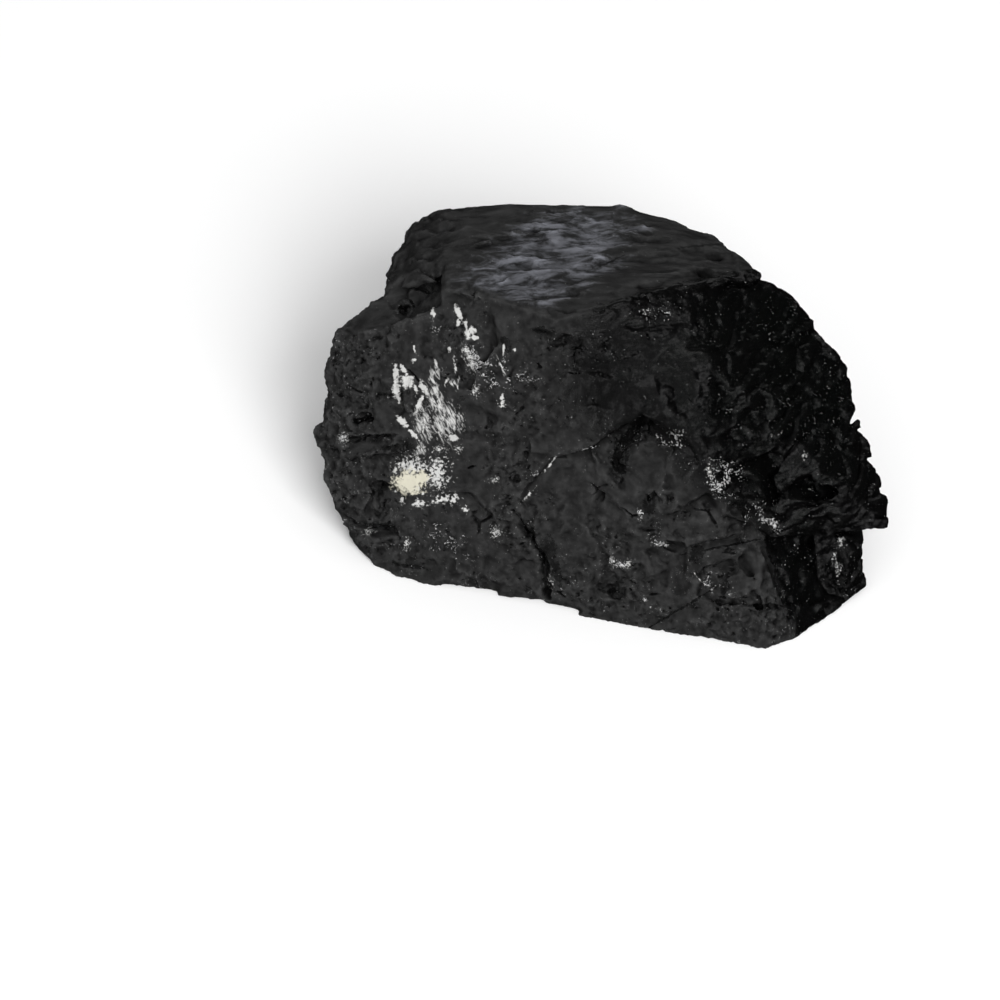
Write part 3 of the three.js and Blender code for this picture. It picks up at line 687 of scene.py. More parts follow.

# Feldspar, and painted shade in hollows and cracks, on the front, seen square to the view that looks down on
# it at 55 degrees: the centre and the half-widths are millimetres right, up and towards that view, and the
# turn is degrees from upright.
PATCHES = (
    # the white web, arm by arm
    ((-31.5, 18.3, 19.7), (0.34, 1.04), 6, "solid"),
    ((-30.4, 18.9, 20.3), (0.28, 0.83), 32, "solid"),
    ((-29.9, 16.9, 20.3), (0.83, 0.74), 0, "solid"),
    ((-31.5, 16.0, 19.3), (0.47, 1.21), 0, "solid"),
    ((-31.1, 14.1, 19.2), (0.19, 0.47), 0, "solid"),
    ((-29.2, 17.6, 20.8), (0.38, 0.22), 0, "solid"),
    ((-27.1, 15.8, 21.3), (0.36, 1.12), 32, "solid"),
    ((-28.5, 15.9, 20.7), (0.27, 0.59), 22, "solid"),
    ((-27.9, 13.5, 20.5), (0.30, 1.33), -20, "solid"),
    ((-30.5, 10.7, 18.8), (0.34, 0.98), 38, "solid"),
    ((-28.9, 8.9, 18.8), (0.24, 0.95), 45, "solid"),
    ((-22.7, 8.2, 20.5), (0.68, 0.33), 0, "solid"),
    # its drawn-out, fibrous part
    ((-24.8, 13.4, 21.9), (0.81, 2.37), 25, "fibrous"),
    ((-24.2, 10.4, 21.0), (1.33, 1.78), 20, "fibrous"),
    ((-27.2, 10.5, 20.0), (1.11, 1.78), 6, "fibrous"),
    ((-22.8, 11.2, 21.7), (0.96, 1.78), 30, "fibrous"),
    ((-25.3, 15.6, 22.1), (0.44, 0.89), 20, "fibrous"),
    ((-25.4, 18.3, 22.6), (0.62, 0.53), 0, "fibrous"),
    ((-25.3, 19.5, 23.0), (0.24, 0.59), 0, "fibrous"),
    ((-25.9, 17.1, 22.1), (0.34, 0.74), 28, "fibrous"),
    ((-22.7, 16.5, 23.5), (0.37, 0.44), 0, "fibrous"),
    ((-23.7, 16.8, 23.1), (0.13, 0.50), -15, "fibrous"),
    ((-22.3, 19.0, 24.0), (0.12, 1.04), 4, "fibrous"),
    ((-21.9, 16.3, 23.8), (0.16, 0.74), -6, "fibrous"),
    ((-20.0, 20.2, 24.7), (0.53, 1.33), 24, "fibrous"),
    ((-28.0, 6.3, 18.2), (0.62, 0.62), 0, "fibrous"),
    # cream crust and grains lower down
    ((-29.7, 1.4, 15.8), (1.9, 1.5), 0, "cream"),
    ((-27.7, 2.2, 16.8), (0.9, 0.8), 0, "cream"),
    ((-25.2, 2.7, 17.9), (1.36, 2.00), 0, "grains"),
    ((-29.1, 4.0, 16.6), (1.92, 0.98), 0, "grains"),
    ((-31.8, 3.3, 15.5), (0.30, 0.30), 0, "solid"),
    ((-31.8, -0.0, 13.1), (0.19, 0.19), 0, "solid"),
    ((-28.3, 0.4, 15.9), (0.28, 0.28), 0, "solid"),
    ((-27.5, -0.4, 15.9), (0.19, 0.19), 0, "solid"),
    ((-30.7, -1.5, 13.7), (0.33, 0.50), 0, "grains"),
    ((-28.1, -1.9, 15.1), (0.8, 0.5), 0, "grains"),
    ((-24.4, -1.2, 16.2), (1.3, 0.5), 10, "grains"),
    ((-22.7, -1.3, 16.5), (0.5, 0.8), -40, "grains"),
    ((-20.9, -2.8, 16.4), (0.4, 0.4), 0, "grains"),
    # drops below the crown
    ((-21.8, 27.4, 26.0), (0.34, 1.10), 24, "solid"),
    ((-21.8, 25.8, 25.8), (0.25, 0.38), -20, "solid"),
    ((-20.7, 25.6, 26.3), (0.21, 0.59), 8, "solid"),
    ((-20.4, 24.1, 25.9), (0.31, 0.74), 14, "solid"),
    ((-19.7, 24.6, 26.2), (0.47, 0.47), 0, "solid"),
    ((-19.3, 23.6, 25.9), (0.41, 0.27), 0, "solid"),
    ((-25.8, 27.4, 24.1), (0.28, 0.68), 0, "grains"),
    ((-28.7, 22.1, 22.0), (0.15, 0.62), 20, "solid"),
    ((-28.8, 20.3, 21.5), (0.24, 0.27), 0, "solid"),
    ((-23.2, 21.8, 24.4), (0.18, 0.33), 10, "solid"),
    ((-20.5, 21.6, 25.1), (0.30, 0.38), 0, "grains"),
    ((-14.9, 21.6, 28.1), (0.15, 0.65), 0, "solid"),
    ((-15.3, 19.2, 27.2), (0.10, 1.04), 25, "fibrous"),
    ((-13.3, 21.6, 28.6), (0.19, 0.22), 0, "solid"),
    ((-15.1, 14.4, 25.6), (0.21, 0.44), 0, "solid"),
    ((-15.2, 13.4, 25.2), (0.44, 0.44), 0, "grains"),
    ((-19.1, 15.5, 24.7), (0.8, 0.9), 0, "sprinkle"),
    # grains strewn over the left end
    ((-39.9, 8.3, 14.1), (0.8, 0.6), 0, "sprinkle"),
    ((-24.8, 6.6, 19.2), (0.9, 0.5), 0, "sprinkle"),
    ((-21.9, 6.6, 20.4), (0.6, 0.5), 0, "sprinkle"),
    ((-30.1, -8.2, 12.1), (0.5, 1.1), 0, "sprinkle"),
    ((-36.2, -6.2, 10.7), (0.9, 0.5), 0, "sprinkle"),
    ((-16.3, 1.8, 19.9), (0.4, 0.8), -75, "sprinkle"),
    ((-16.1, -6.4, 16.3), (0.8, 1.0), 0, "sprinkle"),
    ((-7.5, -14.3, 14.9), (0.5, 0.9), 0, "sprinkle"),
    # needles and grains in the middle
    ((-7.6, 4.3, 21.8), (0.1, 1.1), -38, "fibrous"),
    ((-11.2, -0.7, 19.3), (0.1, 1.1), -42, "fibrous"),
    ((15.1, -13.2, 20.0), (0.06, 1.0), 40, "fibrous"),
    ((6.1, -3.4, 22.6), (0.3, 0.8), 0, "sprinkle"),
    ((2.0, -10.9, 18.3), (0.35, 0.9), 0, "sprinkle"),
    ((4.5, -11.2, 18.9), (0.5, 0.7), 0, "sprinkle"),
    ((16.6, 3.0, 26.8), (0.5, 0.8), 0, "sprinkle"),
    # and at the right end
    ((31.4, 5.5, 22.5), (0.45, 0.45), 0, "sprinkle"),
    ((37.2, -12.0, 14.0), (0.25, 1.4), 10, "sprinkle"),
    ((37.6, -7.7, 16.5), (0.6, 0.8), 0, "sprinkle"),
    # painted shade in hollows: the cliff of the hollow in the middle, pits and cracks to its right
    ((3.0, 5.2, 23.6), (1.0, 2.6), -8, "painted_shade"),
    ((5.0, 9.2, 25.5), (1.1, 2.6), -50, "painted_shade"),
    ((7.6, -2.1, 23.3), (0.7, 1.1), 0, "painted_shade"),
    ((14.8, -9.6, 21.3), (0.8, 0.9), 0, "painted_shade"),
    ((19.0, -8.5, 21.9), (0.12, 4.6), -79, "painted_shade"),
    ((27.0, -10.0, 18.2), (0.5, 2.8), 22, "painted_shade"),
    ((26.1, -17.9, 18.8), (1.6, 0.4), 0, "painted_shade"),
    ((12.6, -18.2, 17.3), (0.12, 4.6), -58, "painted_shade"),
    # pits and cracks left of the middle
    ((-8.0, -9.1, 17.1), (0.9, 1.6), 0, "painted_shade"),
    ((-6.5, -12.5, 15.5), (0.5, 1.6), 15, "painted_shade"),
    ((-10.8, -5.8, 17.9), (0.4, 1.3), 35, "painted_shade"),
    ((-21.4, 14.3, 23.4), (0.4, 0.3), 0, "painted_shade"),
    ((-34.1, 8.7, 15.2), (1.8, 0.2), 0, "painted_shade"),
    ((-31.4, 6.8, 17.2), (2.3, 0.45), 0, "painted_shade"),
    ((-35.0, -5.4, 9.9), (2.2, 0.28), 0, "painted_shade"),
    ((-29.6, -11.7, 10.9), (2.2, 0.22), -8, "painted_shade"),
    # under the crown, and in the crown itself
    ((-21.2, 26.0, 26.1), (0.35, 0.9), 0, "painted_shade"),
    ((-14.6, 22.3, 28.4), (0.45, 1.0), 20, "painted_shade"),
    ((-9.3, 24.5, 31.2), (0.7, 0.35), 0, "painted_shade"),
    ((-18.6, 19.3, 26.0), (0.35, 0.6), 0, "painted_shade"),
    ((-25.1, 33.1, 21.5), (0.3, 1.2), 10, "painted_shade"),
    ((-18.2, 37.6, 20.4), (0.14, 1.8), -78, "painted_shade"),
    ((1.7, 35.4, 23.3), (0.1, 1.8), -65, "painted_shade"),
    ((15.5, 38.0, 20.4), (0.1, 3.0), -83, "painted_shade"),
)
# How each kind fills its patches: (stretch, turn in degrees, noise scale per millimetre, detail,
# distortion), how much a patch's middle counts, how much the noise counts, where the mask starts, and how
# soft its edge is.
PATCH_KINDS = {
    "solid": ((1, 1, 1), 0, 2.0, 5.0, 0.4, 1.0, 3.2, -0.4, 0.5),
    "fibrous": ((1, 4.0, 1), 24, 3.2, 4.0, 0.6, 0.6, 4.0, -0.2, 0.9),
    "grains": ((1, 1, 1), 0, 2.2, 4.0, 0.4, 0.7, 4.4, -0.12, 0.6),
    "sprinkle": ((1, 1, 1), 0, 3.2, 4.0, 0.4, 0.7, 4.4, 0.15, 0.9),
    "cream": ((1, 1, 1), 0, 1.8, 4.0, 0.4, 1.1, 3.2, -0.5, 0.6),
    "painted_shade": ((1, 1, 1), 0, 1.4, 5.0, 0.4, 1.0, 2.4, -0.8, 0.6),
}
PATCH_DEPTH = 7.0  # half-depth of every patch towards the view, in millimetres
PATCH_REACH = 4.0  # half-widths from a patch's centre to where it fades out

# The slate-grey skin on the top: centre, turn in degrees and half-size, in millimetres.
SKIN_CENTRE = (-8.5, 15.5, 40.0)
SKIN_TURN = 42
SKIN_HALF_SIZE = (12.5, 6.5, 8.0)

# Where mica crowds and its pale flakes stand as painted glints, placed like the feldspar, with how thickly it
# lies: past 1 it covers the middle for sure.
MICA_BEDS = (
    # hollow in the middle of the front, and the broken stone right of it down to the recess
    ((10.9, 7.8, 26.4), (4.0, 4.0), 0, 1.0),
    ((18.6, 2.0, 25.6), (5.5, 5.0), 0, 1.3),
    ((9.2, 8.2, 25.7), (1.8, 1.5), 0, 1.6),
    ((16.6, 3.0, 26.8), (1.0, 1.4), 0, 1.4),
    ((26.5, -5.0, 20.6), (2.4, 3.0), 30, 1.15),
    ((6.1, -3.4, 22.6), (0.8, 1.6), 0, 1.6),
    ((24.2, -3.6, 22.0), (3.4, 4.2), 20, 1.25),
    # along the lip of the scoop
    ((-3.1, 6.5, 25.1), (4.2, 0.5), 8, 1.7),
    ((-9.6, 3.0, 21.1), (4.6, 0.8), 48, 0.9),
    # upper left, round the feldspar
    ((-14.5, 17.5, 27.0), (8.0, 6.0), 0, 0.9),
    ((-18.6, 19.5, 26.0), (3.0, 5.0), 20, 1.3),
    ((-26.0, 25.0, 24.0), (8.0, 3.0), 0, 0.6),
    ((8.2, 26.9, 30.2), (6.5, 2.0), 0, 0.7),
    # bands across the lower left
    ((-33.0, 7.6, 15.6), (7.0, 2.4), 0, 0.7),
    ((-24.0, -7.5, 14.0), (11.0, 5.5), -15, 0.7),
    ((-24.2, -8.7, 13.4), (1.6, 2.6), 0, 1.5),
    ((-16.1, -6.4, 16.3), (1.0, 1.3), 0, 1.6),
    ((-39.9, 8.3, 14.1), (1.2, 1.4), 0, 1.5),
    ((-7.5, -14.3, 14.9), (0.8, 1.3), 0, 1.6),
    # lower right of the front
    ((3.4, -10.9, 18.6), (2.8, 2.0), 0, 1.5),
    ((9.7, -8.1, 20.3), (2.6, 0.9), -10, 1.6),
    ((7.2, -16.9, 16.8), (0.7, 0.7), 0, 1.6),
    ((16.5, -14.5, 19.5), (9.0, 4.5), -10, 0.75),
    # right end
    ((34.2, 8.0, 18.2), (7.5, 10.0), 0, 0.36),
    ((37.2, -11.0, 14.5), (1.2, 3.6), 10, 1.35),
)


def fade_round(tree, place, centre, half_size, turn):
    """A fade from 1 at a patch's centre to 0 at PATCH_REACH times its half-widths."""
    reach = [PATCH_REACH * half for half in (*half_size, PATCH_DEPTH)]
    local = add(
        tree,
        "ShaderNodeMapping",
        {"Vector": place, "Location": centre, "Rotation": (0, 0, math.radians(turn)), "Scale": reach},
        vector_type="TEXTURE",
    )
    return add(tree, "ShaderNodeTexGradient", {"Vector": local}, gradient_type="SPHERICAL").outputs["Fac"]


def schorl_material(colours):
    """Schorl, an iron-rich black tourmaline, broken by hand: opaque, with a vitreous to satin lustre.

    Worn breaks are dull charcoal; the right end is jet black, partly its glossier break and partly painted
    shade, and the top has a slate-grey skin drawn out in streaks. Hollows, recesses and steep walls carry
    painted shade and edges a painted highlight. Feldspar shows as white and cream spots, and tiny flakes of
    mica flash in the light; their pale colour is also a painted glint.
    """
    material = bpy.data.materials.new("Schorl, broken, with feldspar and mica")
    material.use_nodes = True
    tree = material.node_tree
    tree.nodes.clear()
    coordinates = add(tree, "ShaderNodeTexCoord")
    point = add(
        tree, "ShaderNodeVectorMath", {0: coordinates.outputs["Object"], "Scale": 1 / MM}, operation="SCALE"
    )
    top, jet_and_shade, rough, near_crack, hollow, deep, steep = (
        add(tree, "ShaderNodeAttribute", attribute_name=name).outputs["Fac"]
        for name in ("top_face", "jet_and_shaded_side", "rough_patch", "near_crack", "hollow", "deep", "steep")
    )

    # Colour: cloudy charcoal, jet at the right that is partly a glossier break and partly painted shade on
    # that side, streaked slate on top.
    clouds = add(
        tree, "ShaderNodeTexNoise", {"Vector": point, "Scale": 0.4, "Detail": 7.0, "Roughness": 0.75}
    )
    shade = add(
        tree,
        "ShaderNodeMapRange",
        {"Value": clouds, "From Min": 0.36, "From Max": 0.64, "To Min": 0.35, "To Max": 1.65},
    )
    charcoal = add(
        tree, "ShaderNodeVectorMath", {0: tuple(colours.charcoal[:3]), "Scale": shade}, operation="SCALE"
    )
    streak_place = add(tree, "ShaderNodeVectorMath", {0: point, 1: (0.38, 1.0, 0.9)}, operation="MULTIPLY")
    streaks = add(
        tree,
        "ShaderNodeTexNoise",
        {"Vector": streak_place, "Scale": 0.6, "Detail": 8.0, "Roughness": 0.72, "Distortion": 0.6},
    )
    slate_shade = add(
        tree,
        "ShaderNodeMapRange",
        {"Value": streaks, "From Min": 0.4, "From Max": 0.6, "To Min": 0.15, "To Max": 1.8},
    )
    slate = add(
        tree, "ShaderNodeVectorMath", {0: tuple(colours.slate[:3]), "Scale": slate_shade}, operation="SCALE"
    )
    side = add(tree, "ShaderNodeMix", {"Factor": jet_and_shade, 6: charcoal, 7: tuple(colours.jet)}, data_type="RGBA")
    bare_shade = add(
        tree,
        "ShaderNodeMapRange",
        {"Value": streaks, "From Min": 0.4, "From Max": 0.6, "To Min": 0.3, "To Max": 1.5},
    )
    bare = add(
        tree, "ShaderNodeVectorMath", {0: tuple(colours.charcoal[:3]), "Scale": bare_shade}, operation="SCALE"
    )
    skin_place = add(
        tree,
        "ShaderNodeMapping",
        {
            "Vector": point,
            "Location": SKIN_CENTRE,
            "Rotation": (0, 0, math.radians(SKIN_TURN)),
            "Scale": SKIN_HALF_SIZE,
        },
        vector_type="TEXTURE",
    )
    skin_distance = add(tree, "ShaderNodeVectorMath", {0: skin_place}, operation="LENGTH")
    skin_edge = add(
        tree,
        "ShaderNodeMath",
        {0: streaks, 1: -3.0, 2: skin_distance.outputs["Value"]},
        operation="MULTIPLY_ADD",
    )
    skin = add(
        tree,
        "ShaderNodeMapRange",
        {"Value": skin_edge, "From Min": -1.0, "From Max": 0.0, "To Min": 1.0, "To Max": 0.0},
        interpolation_type="SMOOTHSTEP",
    )
    top_stone = add(tree, "ShaderNodeMix", {"Factor": skin, 6: bare, 7: slate}, data_type="RGBA")
    stone = add(
        tree, "ShaderNodeMix", {"Factor": top, 6: side.outputs[2], 7: top_stone.outputs[2]}, data_type="RGBA"
    )
    # Painted shade darkens hollows and a painted highlight makes edges paler, by how far each place lies below
    # its surroundings.
    hollow_shade_edge_light = add(
        tree,
        "ShaderNodeMapRange",
        {"Value": hollow, "From Min": -1.2, "From Max": 1.2, "To Min": 1.8, "To Max": 0.2},
    )
    worn = add(tree, "ShaderNodeVectorMath", {0: stone.outputs[2], "Scale": hollow_shade_edge_light}, operation="SCALE")
    # Painted shade: deep recesses and the steep walls of breaks are darkened to a quarter.
    sunk = add(tree, "ShaderNodeMapRange", {"Value": deep, "From Min": 3.0, "From Max": 10.0})
    not_edge = add(tree, "ShaderNodeMapRange", {"Value": deep, "From Min": -2.0, "From Max": 0.0})
    wall = add(tree, "ShaderNodeMath", {0: steep, 1: not_edge}, operation="MULTIPLY")
    recess_wall_shade = add(tree, "ShaderNodeMath", {0: wall, 1: sunk}, operation="MAXIMUM")
    recess_wall_darkening = add(tree, "ShaderNodeMapRange", {"Value": recess_wall_shade, "To Min": 1.0, "To Max": 0.25})
    colour = add(tree, "ShaderNodeVectorMath", {0: worn, "Scale": recess_wall_darkening}, operation="SCALE")

    # For each kind of patch, the fade from the nearest one's centre is broken up by noise.
    facing_view = add(
        tree, "ShaderNodeMapping", {"Vector": point, "Rotation": (CAMERA_PITCH, 0, 0)}, vector_type="TEXTURE"
    )
    shiver = add(tree, "ShaderNodeTexNoise", {"Vector": facing_view, "Scale": 1.3, "Detail": 3.0})
    ragged = add(
        tree,
        "ShaderNodeVectorMath",
        {0: shiver.outputs["Color"], 1: (0.7, 0.7, 0.7), 2: facing_view},
        operation="MULTIPLY_ADD",
    )
    ragged = add(tree, "ShaderNodeVectorMath", {0: ragged, 1: (0.35, 0.35, 0.35)}, operation="SUBTRACT")
    nearest = {}
    for centre, half_size, turn, kind in PATCHES:
        fade = fade_round(tree, ragged, centre, half_size, turn)
        if kind in nearest:
            fade = add(tree, "ShaderNodeMath", {0: nearest[kind], 1: fade}, operation="MAXIMUM")
        nearest[kind] = fade
    masks = {}
    for kind, (stretch, turn, scale, detail, distortion, middle, grain, start, soft) in PATCH_KINDS.items():
        drawn = add(
            tree,
            "ShaderNodeMapping",
            {"Vector": facing_view, "Rotation": (0, 0, math.radians(turn)), "Scale": stretch},
            vector_type="TEXTURE",
        )
        noise = add(
            tree,
            "ShaderNodeTexNoise",
            {"Vector": drawn, "Scale": scale, "Detail": detail, "Distortion": distortion},
        )
        inside = add(
            tree,
            "ShaderNodeMath",
            {0: nearest[kind], 1: middle * PATCH_REACH, 2: middle * (1 - PATCH_REACH)},
            operation="MULTIPLY_ADD",
        )
        broken = add(tree, "ShaderNodeMath", {0: noise, 1: grain, 2: -0.5 * grain}, operation="MULTIPLY_ADD")
        both = add(tree, "ShaderNodeMath", {0: inside, 1: broken}, operation="ADD")
        masks[kind] = add(
            tree, "ShaderNodeMapRange", {"Value": both, "From Min": start, "From Max": start + soft}
        )
    # Painted shade: the shade patches darken the colour to an eighth in hollows and cracks.
    patch_shade_darkening = add(tree, "ShaderNodeMapRange", {"Value": masks["painted_shade"], "To Min": 1.0, "To Max": 0.12})
    colour = add(tree, "ShaderNodeVectorMath", {0: colour, "Scale": patch_shade_darkening}, operation="SCALE")
    white = masks["solid"]
    for kind in ("fibrous", "grains", "sprinkle"):
        white = add(tree, "ShaderNodeMath", {0: white, 1: masks[kind]}, operation="MAXIMUM")
    for mask, tint in ((white, colours.feldspar), (masks["cream"], colours.cream)):
        colour = add(
            tree, "ShaderNodeMix", {"Factor": mask, 6: colour, 7: tuple(tint)}, data_type="RGBA"
        ).outputs[2]
    spotted = add(tree, "ShaderNodeMath", {0: white, 1: masks["cream"]}, operation="MAXIMUM")

    # Mica: ragged flakes one or two tenths of a millimetre wide, crowded in beds and tilted every way, so
    # that each catches the light differently; their pale colour is also a painted glint. Between them lie as
    # many black specks of open pores.
    bed = None
    for centre, half_size, turn, thick in MICA_BEDS:
        fade = fade_round(tree, facing_view, centre, half_size, turn)
        lies = add(
            tree,
            "ShaderNodeMath",
            {0: fade, 1: thick * PATCH_REACH, 2: thick * (1 - PATCH_REACH)},
            operation="MULTIPLY_ADD",
        )
        bed = lies if bed is None else add(tree, "ShaderNodeMath", {0: bed, 1: lies}, operation="MAXIMUM")
    crowds = add(
        tree, "ShaderNodeTexNoise", {"Vector": point, "Scale": 0.5, "Detail": 4.0, "Roughness": 0.65}
    )
    crowded = add(tree, "ShaderNodeMapRange", {"Value": crowds, "From Min": 0.45, "From Max": 0.6})
    hosts = add(tree, "ShaderNodeMath", {0: rough, 1: near_crack}, operation="MAXIMUM")
    spread = add(tree, "ShaderNodeMath", {0: hosts, 1: 0.26, 2: 0.03}, operation="MULTIPLY_ADD")
    spread = add(tree, "ShaderNodeMath", {0: bed, 1: spread}, operation="MAXIMUM")
    calm = add(tree, "ShaderNodeMath", {0: 1.0, 1: top}, operation="SUBTRACT")
    sure = add(tree, "ShaderNodeMath", {0: spread, 1: 1.0}, operation="SUBTRACT")
    chance = add(tree, "ShaderNodeMath", {0: crowded, 1: spread}, operation="MULTIPLY")
    chance = add(tree, "ShaderNodeMath", {0: chance, 1: sure}, operation="MAXIMUM")
    chance = add(tree, "ShaderNodeMath", {0: chance, 1: calm}, operation="MULTIPLY")
    flecks = add(
        tree,
        "ShaderNodeTexNoise",
        {"Vector": point, "Scale": FLAKES_PER_MM, "Detail": 3.0, "Roughness": 0.75},
    )
    level = add(
        tree, "ShaderNodeMapRange", {"Value": chance, "To Min": FLAKE_LEVEL[0], "To Max": FLAKE_LEVEL[1]}
    )
    over = add(tree, "ShaderNodeMath", {0: flecks, 1: level}, operation="SUBTRACT")
    flake_and_glint = add(tree, "ShaderNodeMapRange", {"Value": over, "From Min": 0.0, "From Max": 0.02})
    under = add(tree, "ShaderNodeMath", {0: flecks, 1: level}, operation="ADD")
    pore = add(
        tree,
        "ShaderNodeMapRange",
        {"Value": under, "From Min": 0.97, "From Max": 1.01, "To Min": 0.15, "To Max": 1.0},
    )
    colour = add(tree, "ShaderNodeVectorMath", {0: colour, "Scale": pore}, operation="SCALE")
    colour = add(
        tree, "ShaderNodeMix", {"Factor": flake_and_glint, 6: colour, 7: tuple(colours.mica)}, data_type="RGBA"
    ).outputs[2]
    tilts = add(tree, "ShaderNodeTexVoronoi", {"Vector": point, "Scale": TILTS_PER_MM})
    tilt = add(
        tree,
        "ShaderNodeVectorMath",
        {0: tilts.outputs["Color"], 1: (1, 1, 1), 2: (-0.5, -0.5, -0.5)},
        operation="MULTIPLY_ADD",
    )
    amount = add(tree, "ShaderNodeMapRange", {"Value": flake_and_glint, "To Min": 0.06, "To Max": 1.3})
    geometry = add(tree, "ShaderNodeNewGeometry")
    leaning = add(tree, "ShaderNodeVectorMath", {0: tilt, "Scale": amount}, operation="SCALE")
    faceted = add(tree, "ShaderNodeVectorMath", {0: geometry.outputs["Normal"], 1: leaning}, operation="ADD")
    facing = add(tree, "ShaderNodeVectorMath", {0: faceted}, operation="NORMALIZE")
    grit = add(tree, "ShaderNodeTexNoise", {"Vector": point, "Scale": 2.6, "Detail": 6.0, "Roughness": 0.7})
    relief = add(
        tree, "ShaderNodeBump", {"Height": grit, "Normal": facing, "Strength": 0.3, "Distance": 0.2 * MM}
    )

    # Gloss: satin front, vitreous right face, dull slate, silvery mica, chalky feldspar.
    gloss_cloud = add(tree, "ShaderNodeTexNoise", {"Vector": point, "Scale": 0.6, "Detail": 5.0})
    satin = add(
        tree,
        "ShaderNodeMapRange",
        {"Value": gloss_cloud, "From Min": 0.3, "From Max": 0.7, "To Min": SATIN[0], "To Max": SATIN[1]},
    )
    clean = add(tree, "ShaderNodeMath", {0: jet_and_shade, 1: masks["painted_shade"]}, operation="MAXIMUM")
    vitreous = add(tree, "ShaderNodeMix", {0: clean, 2: satin, 3: VITREOUS}, data_type="FLOAT")
    dull = add(tree, "ShaderNodeMix", {0: top, 2: vitreous, 3: SLATY}, data_type="FLOAT")
    silvery = add(tree, "ShaderNodeMix", {0: flake_and_glint, 2: dull, 3: SILVERY}, data_type="FLOAT")
    chalky = add(tree, "ShaderNodeMix", {0: spotted, 2: silvery, 3: CHALKY}, data_type="FLOAT")
    metal = add(tree, "ShaderNodeMath", {0: flake_and_glint, 1: MICA_SHEEN}, operation="MULTIPLY")
    surface = add(
        tree,
        "ShaderNodeBsdfPrincipled",
        {"Base Color": colour, "Metallic": metal, "Roughness": chalky, "Normal": relief, "IOR": SCHORL_IOR},
    )
    add(tree, "ShaderNodeOutputMaterial", {"Surface": surface})
    return material


def paper_material(colour):
    """Matt seamless paper: no lustre, so that the stone's shadow is soft and plain."""
    material = bpy.data.materials.new("Matt white paper")
    material.use_nodes = True
    tree = material.node_tree
    tree.nodes.clear()
    surface = add(
        tree,
        "ShaderNodeBsdfPrincipled",
        {"Base Color": tuple(colour), "Roughness": 0.9, "Specular IOR Level": 0.1},
    )
    add(tree, "ShaderNodeOutputMaterial", {"Surface": surface})
    return material


# ------------------------------------------------------------------ operators
class TOURMALINE_OT_lump(bpy.types.Operator):
    """Breaks the lump's surface and gives it its minerals"""

    bl_idname = "tourmaline.lump"
    bl_label = "Tourmaline lump"

    def execute(self, context):
        shape = context.scene.lump_shape
        material = schorl_material(context.scene.lump_colours)
        lump = merged_copy(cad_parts[LUMP], "broken_tourmaline")

        remesh = lump.modifiers.new("Even grid", "REMESH")
        remesh.mode = "VOXEL"
        remesh.voxel_size = shape.grid
        fracture = lump.modifiers.new("Fracture", "NODES")
        fracture.node_group = fracture_tree(material)
        values = {"Hackle": shape.hackle / MM, "Relief": shape.relief, "Seed": shape.seed}
        for item in fracture.node_group.interface.items_tree:
            if item.in_out == "INPUT" and item.name in values:
                fracture[item.identifier] = values[item.name]
        bake_modifiers(lump)

        thin = lump.modifiers.new("Thin", "DECIMATE")
        triangles = sum(len(p.vertices) - 2 for p in lump.data.polygons)
        thin.ratio = min(1.0, shape.triangles / triangles)
        thin.use_collapse_triangulate = True
        bake_modifiers(lump)

        keep_inside(lump.data)
        lump.data.shade_smooth()
        lump.data.set_sharp_from_angle(angle=SHARP_ANGLE)
        if len(lump.data.polygons) == 0:
            raise RuntimeError("the lump has no faces")
        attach(lump, "root")
        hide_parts(LUMP)
        return {"FINISHED"}


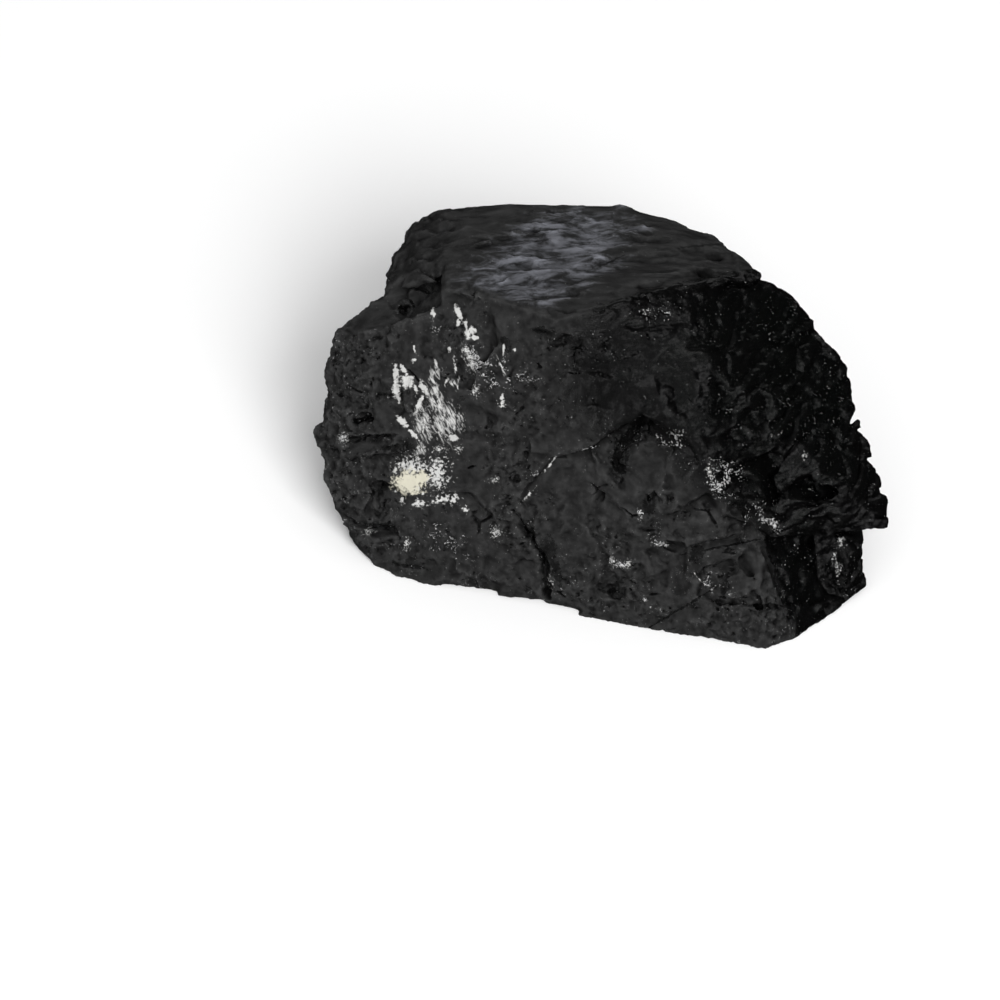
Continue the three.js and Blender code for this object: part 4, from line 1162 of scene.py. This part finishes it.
class TOURMALINE_OT_studio(bpy.types.Operator):
    """Makes the floor, the lights and the camera"""

    bl_idname = "tourmaline.studio"
    bl_label = "Studio"

    def execute(self, context):
        scene = context.scene
        studio = scene.studio_settings
        bpy.ops.mesh.primitive_circle_add(vertices=96, radius=studio.floor_radius, fill_type="NGON")
        floor = context.object
        floor.name = "floor"
        floor.data.materials.append(paper_material(studio.floor_colour))
        floor.visible_glossy = False

        for name, (place, aim, width, height, power, share, serves) in LIGHTS.items():
            lamp = bpy.data.lights.new(name, "AREA")
            lamp.shape = "RECTANGLE"
            lamp.size = width
            lamp.size_y = height
            lamp.energy = share * getattr(studio, power)
            holder = bpy.data.objects.new(name, lamp)
            holder.location = place
            holder.rotation_euler = (Vector(aim) - Vector(place)).to_track_quat("-Z", "Y").to_euler()
            holder.visible_diffuse = serves == "matt"
            holder.visible_glossy = serves == "gloss"
            scene.collection.objects.link(holder)

        lens = bpy.data.cameras.new("camera")
        lens.sensor_width = CAMERA_SENSOR
        lens.lens = CAMERA_LENS
        lens.clip_start = 10 * MM
        camera = bpy.data.objects.new("camera", lens)
        camera.location = CAMERA_PLACE
        camera.rotation_euler = (CAMERA_PITCH, 0, 0)
        scene.collection.objects.link(camera)
        scene.camera = camera

        # A white tent lights the stone and fills the shadows; what the gloss mirrors is a dim room, darkest
        # at the right and below.
        world = bpy.data.worlds.new("Studio room")
        scene.world = world
        world.use_nodes = True
        tree = world.node_tree
        tree.nodes.clear()
        direction = add(tree, "ShaderNodeTexCoord").outputs["Generated"]
        towards_front_left = add(
            tree, "ShaderNodeVectorMath", {0: direction, 1: (-0.7, -0.6, 0.4)}, operation="DOT_PRODUCT"
        )
        grey = add(
            tree,
            "ShaderNodeMapRange",
            {
                "Value": towards_front_left.outputs["Value"],
                "From Min": -0.1,
                "From Max": 0.9,
                "To Min": 0.01,
                "To Max": 0.12,
            },
            interpolation_type="SMOOTHSTEP",
        )
        room = add(tree, "ShaderNodeBackground", {"Color": (1, 1, 1, 1), "Strength": grey})
        tent = add(tree, "ShaderNodeBackground", {"Color": (1, 1, 1, 1), "Strength": studio.tent})
        seen = add(tree, "ShaderNodeLightPath")
        both = add(tree, "ShaderNodeMixShader", {0: seen.outputs["Is Glossy Ray"], 1: tent, 2: room})
        white = add(tree, "ShaderNodeBackground", {"Color": (1, 1, 1, 1), "Strength": 1.0})
        whole = add(tree, "ShaderNodeMixShader", {0: seen.outputs["Is Camera Ray"], 1: both, 2: white})
        add(tree, "ShaderNodeOutputWorld", {"Surface": whole})
        scene.view_settings.view_transform = "Standard"
        return {"FINISHED"}


# ------------------------------------------------------------------ panel and registration
class TOURMALINE_PT_panel(bpy.types.Panel):
    bl_idname = "TOURMALINE_PT_panel"
    bl_label = "Black tourmaline lump"
    bl_space_type = "VIEW_3D"
    bl_region_type = "UI"
    bl_category = "Tourmaline"

    def draw(self, context):
        for group in ("lump_shape", "lump_colours", "studio_settings"):
            settings = getattr(context.scene, group)
            for name in settings.bl_rna.properties.keys():
                if name not in ("rna_type", "name"):
                    self.layout.prop(settings, name)
        for operator in OPERATORS:
            self.layout.operator(operator.bl_idname)


OPERATORS = (TOURMALINE_OT_lump, TOURMALINE_OT_studio)
SETTINGS = (LumpShape, LumpColours, StudioSettings)


def register():
    for cls in SETTINGS + OPERATORS + (TOURMALINE_PT_panel,):
        bpy.utils.register_class(cls)
    bpy.types.Scene.lump_shape = PointerProperty(type=LumpShape)
    bpy.types.Scene.lump_colours = PointerProperty(type=LumpColours)
    bpy.types.Scene.studio_settings = PointerProperty(type=StudioSettings)


def unregister():
    del bpy.types.Scene.studio_settings
    del bpy.types.Scene.lump_colours
    del bpy.types.Scene.lump_shape
    for cls in reversed(SETTINGS + OPERATORS + (TOURMALINE_PT_panel,)):
        bpy.utils.unregister_class(cls)


def main():
    register()
    bpy.ops.tourmaline.lump()
    bpy.ops.tourmaline.studio()


if __name__ == "__main__":
    main()
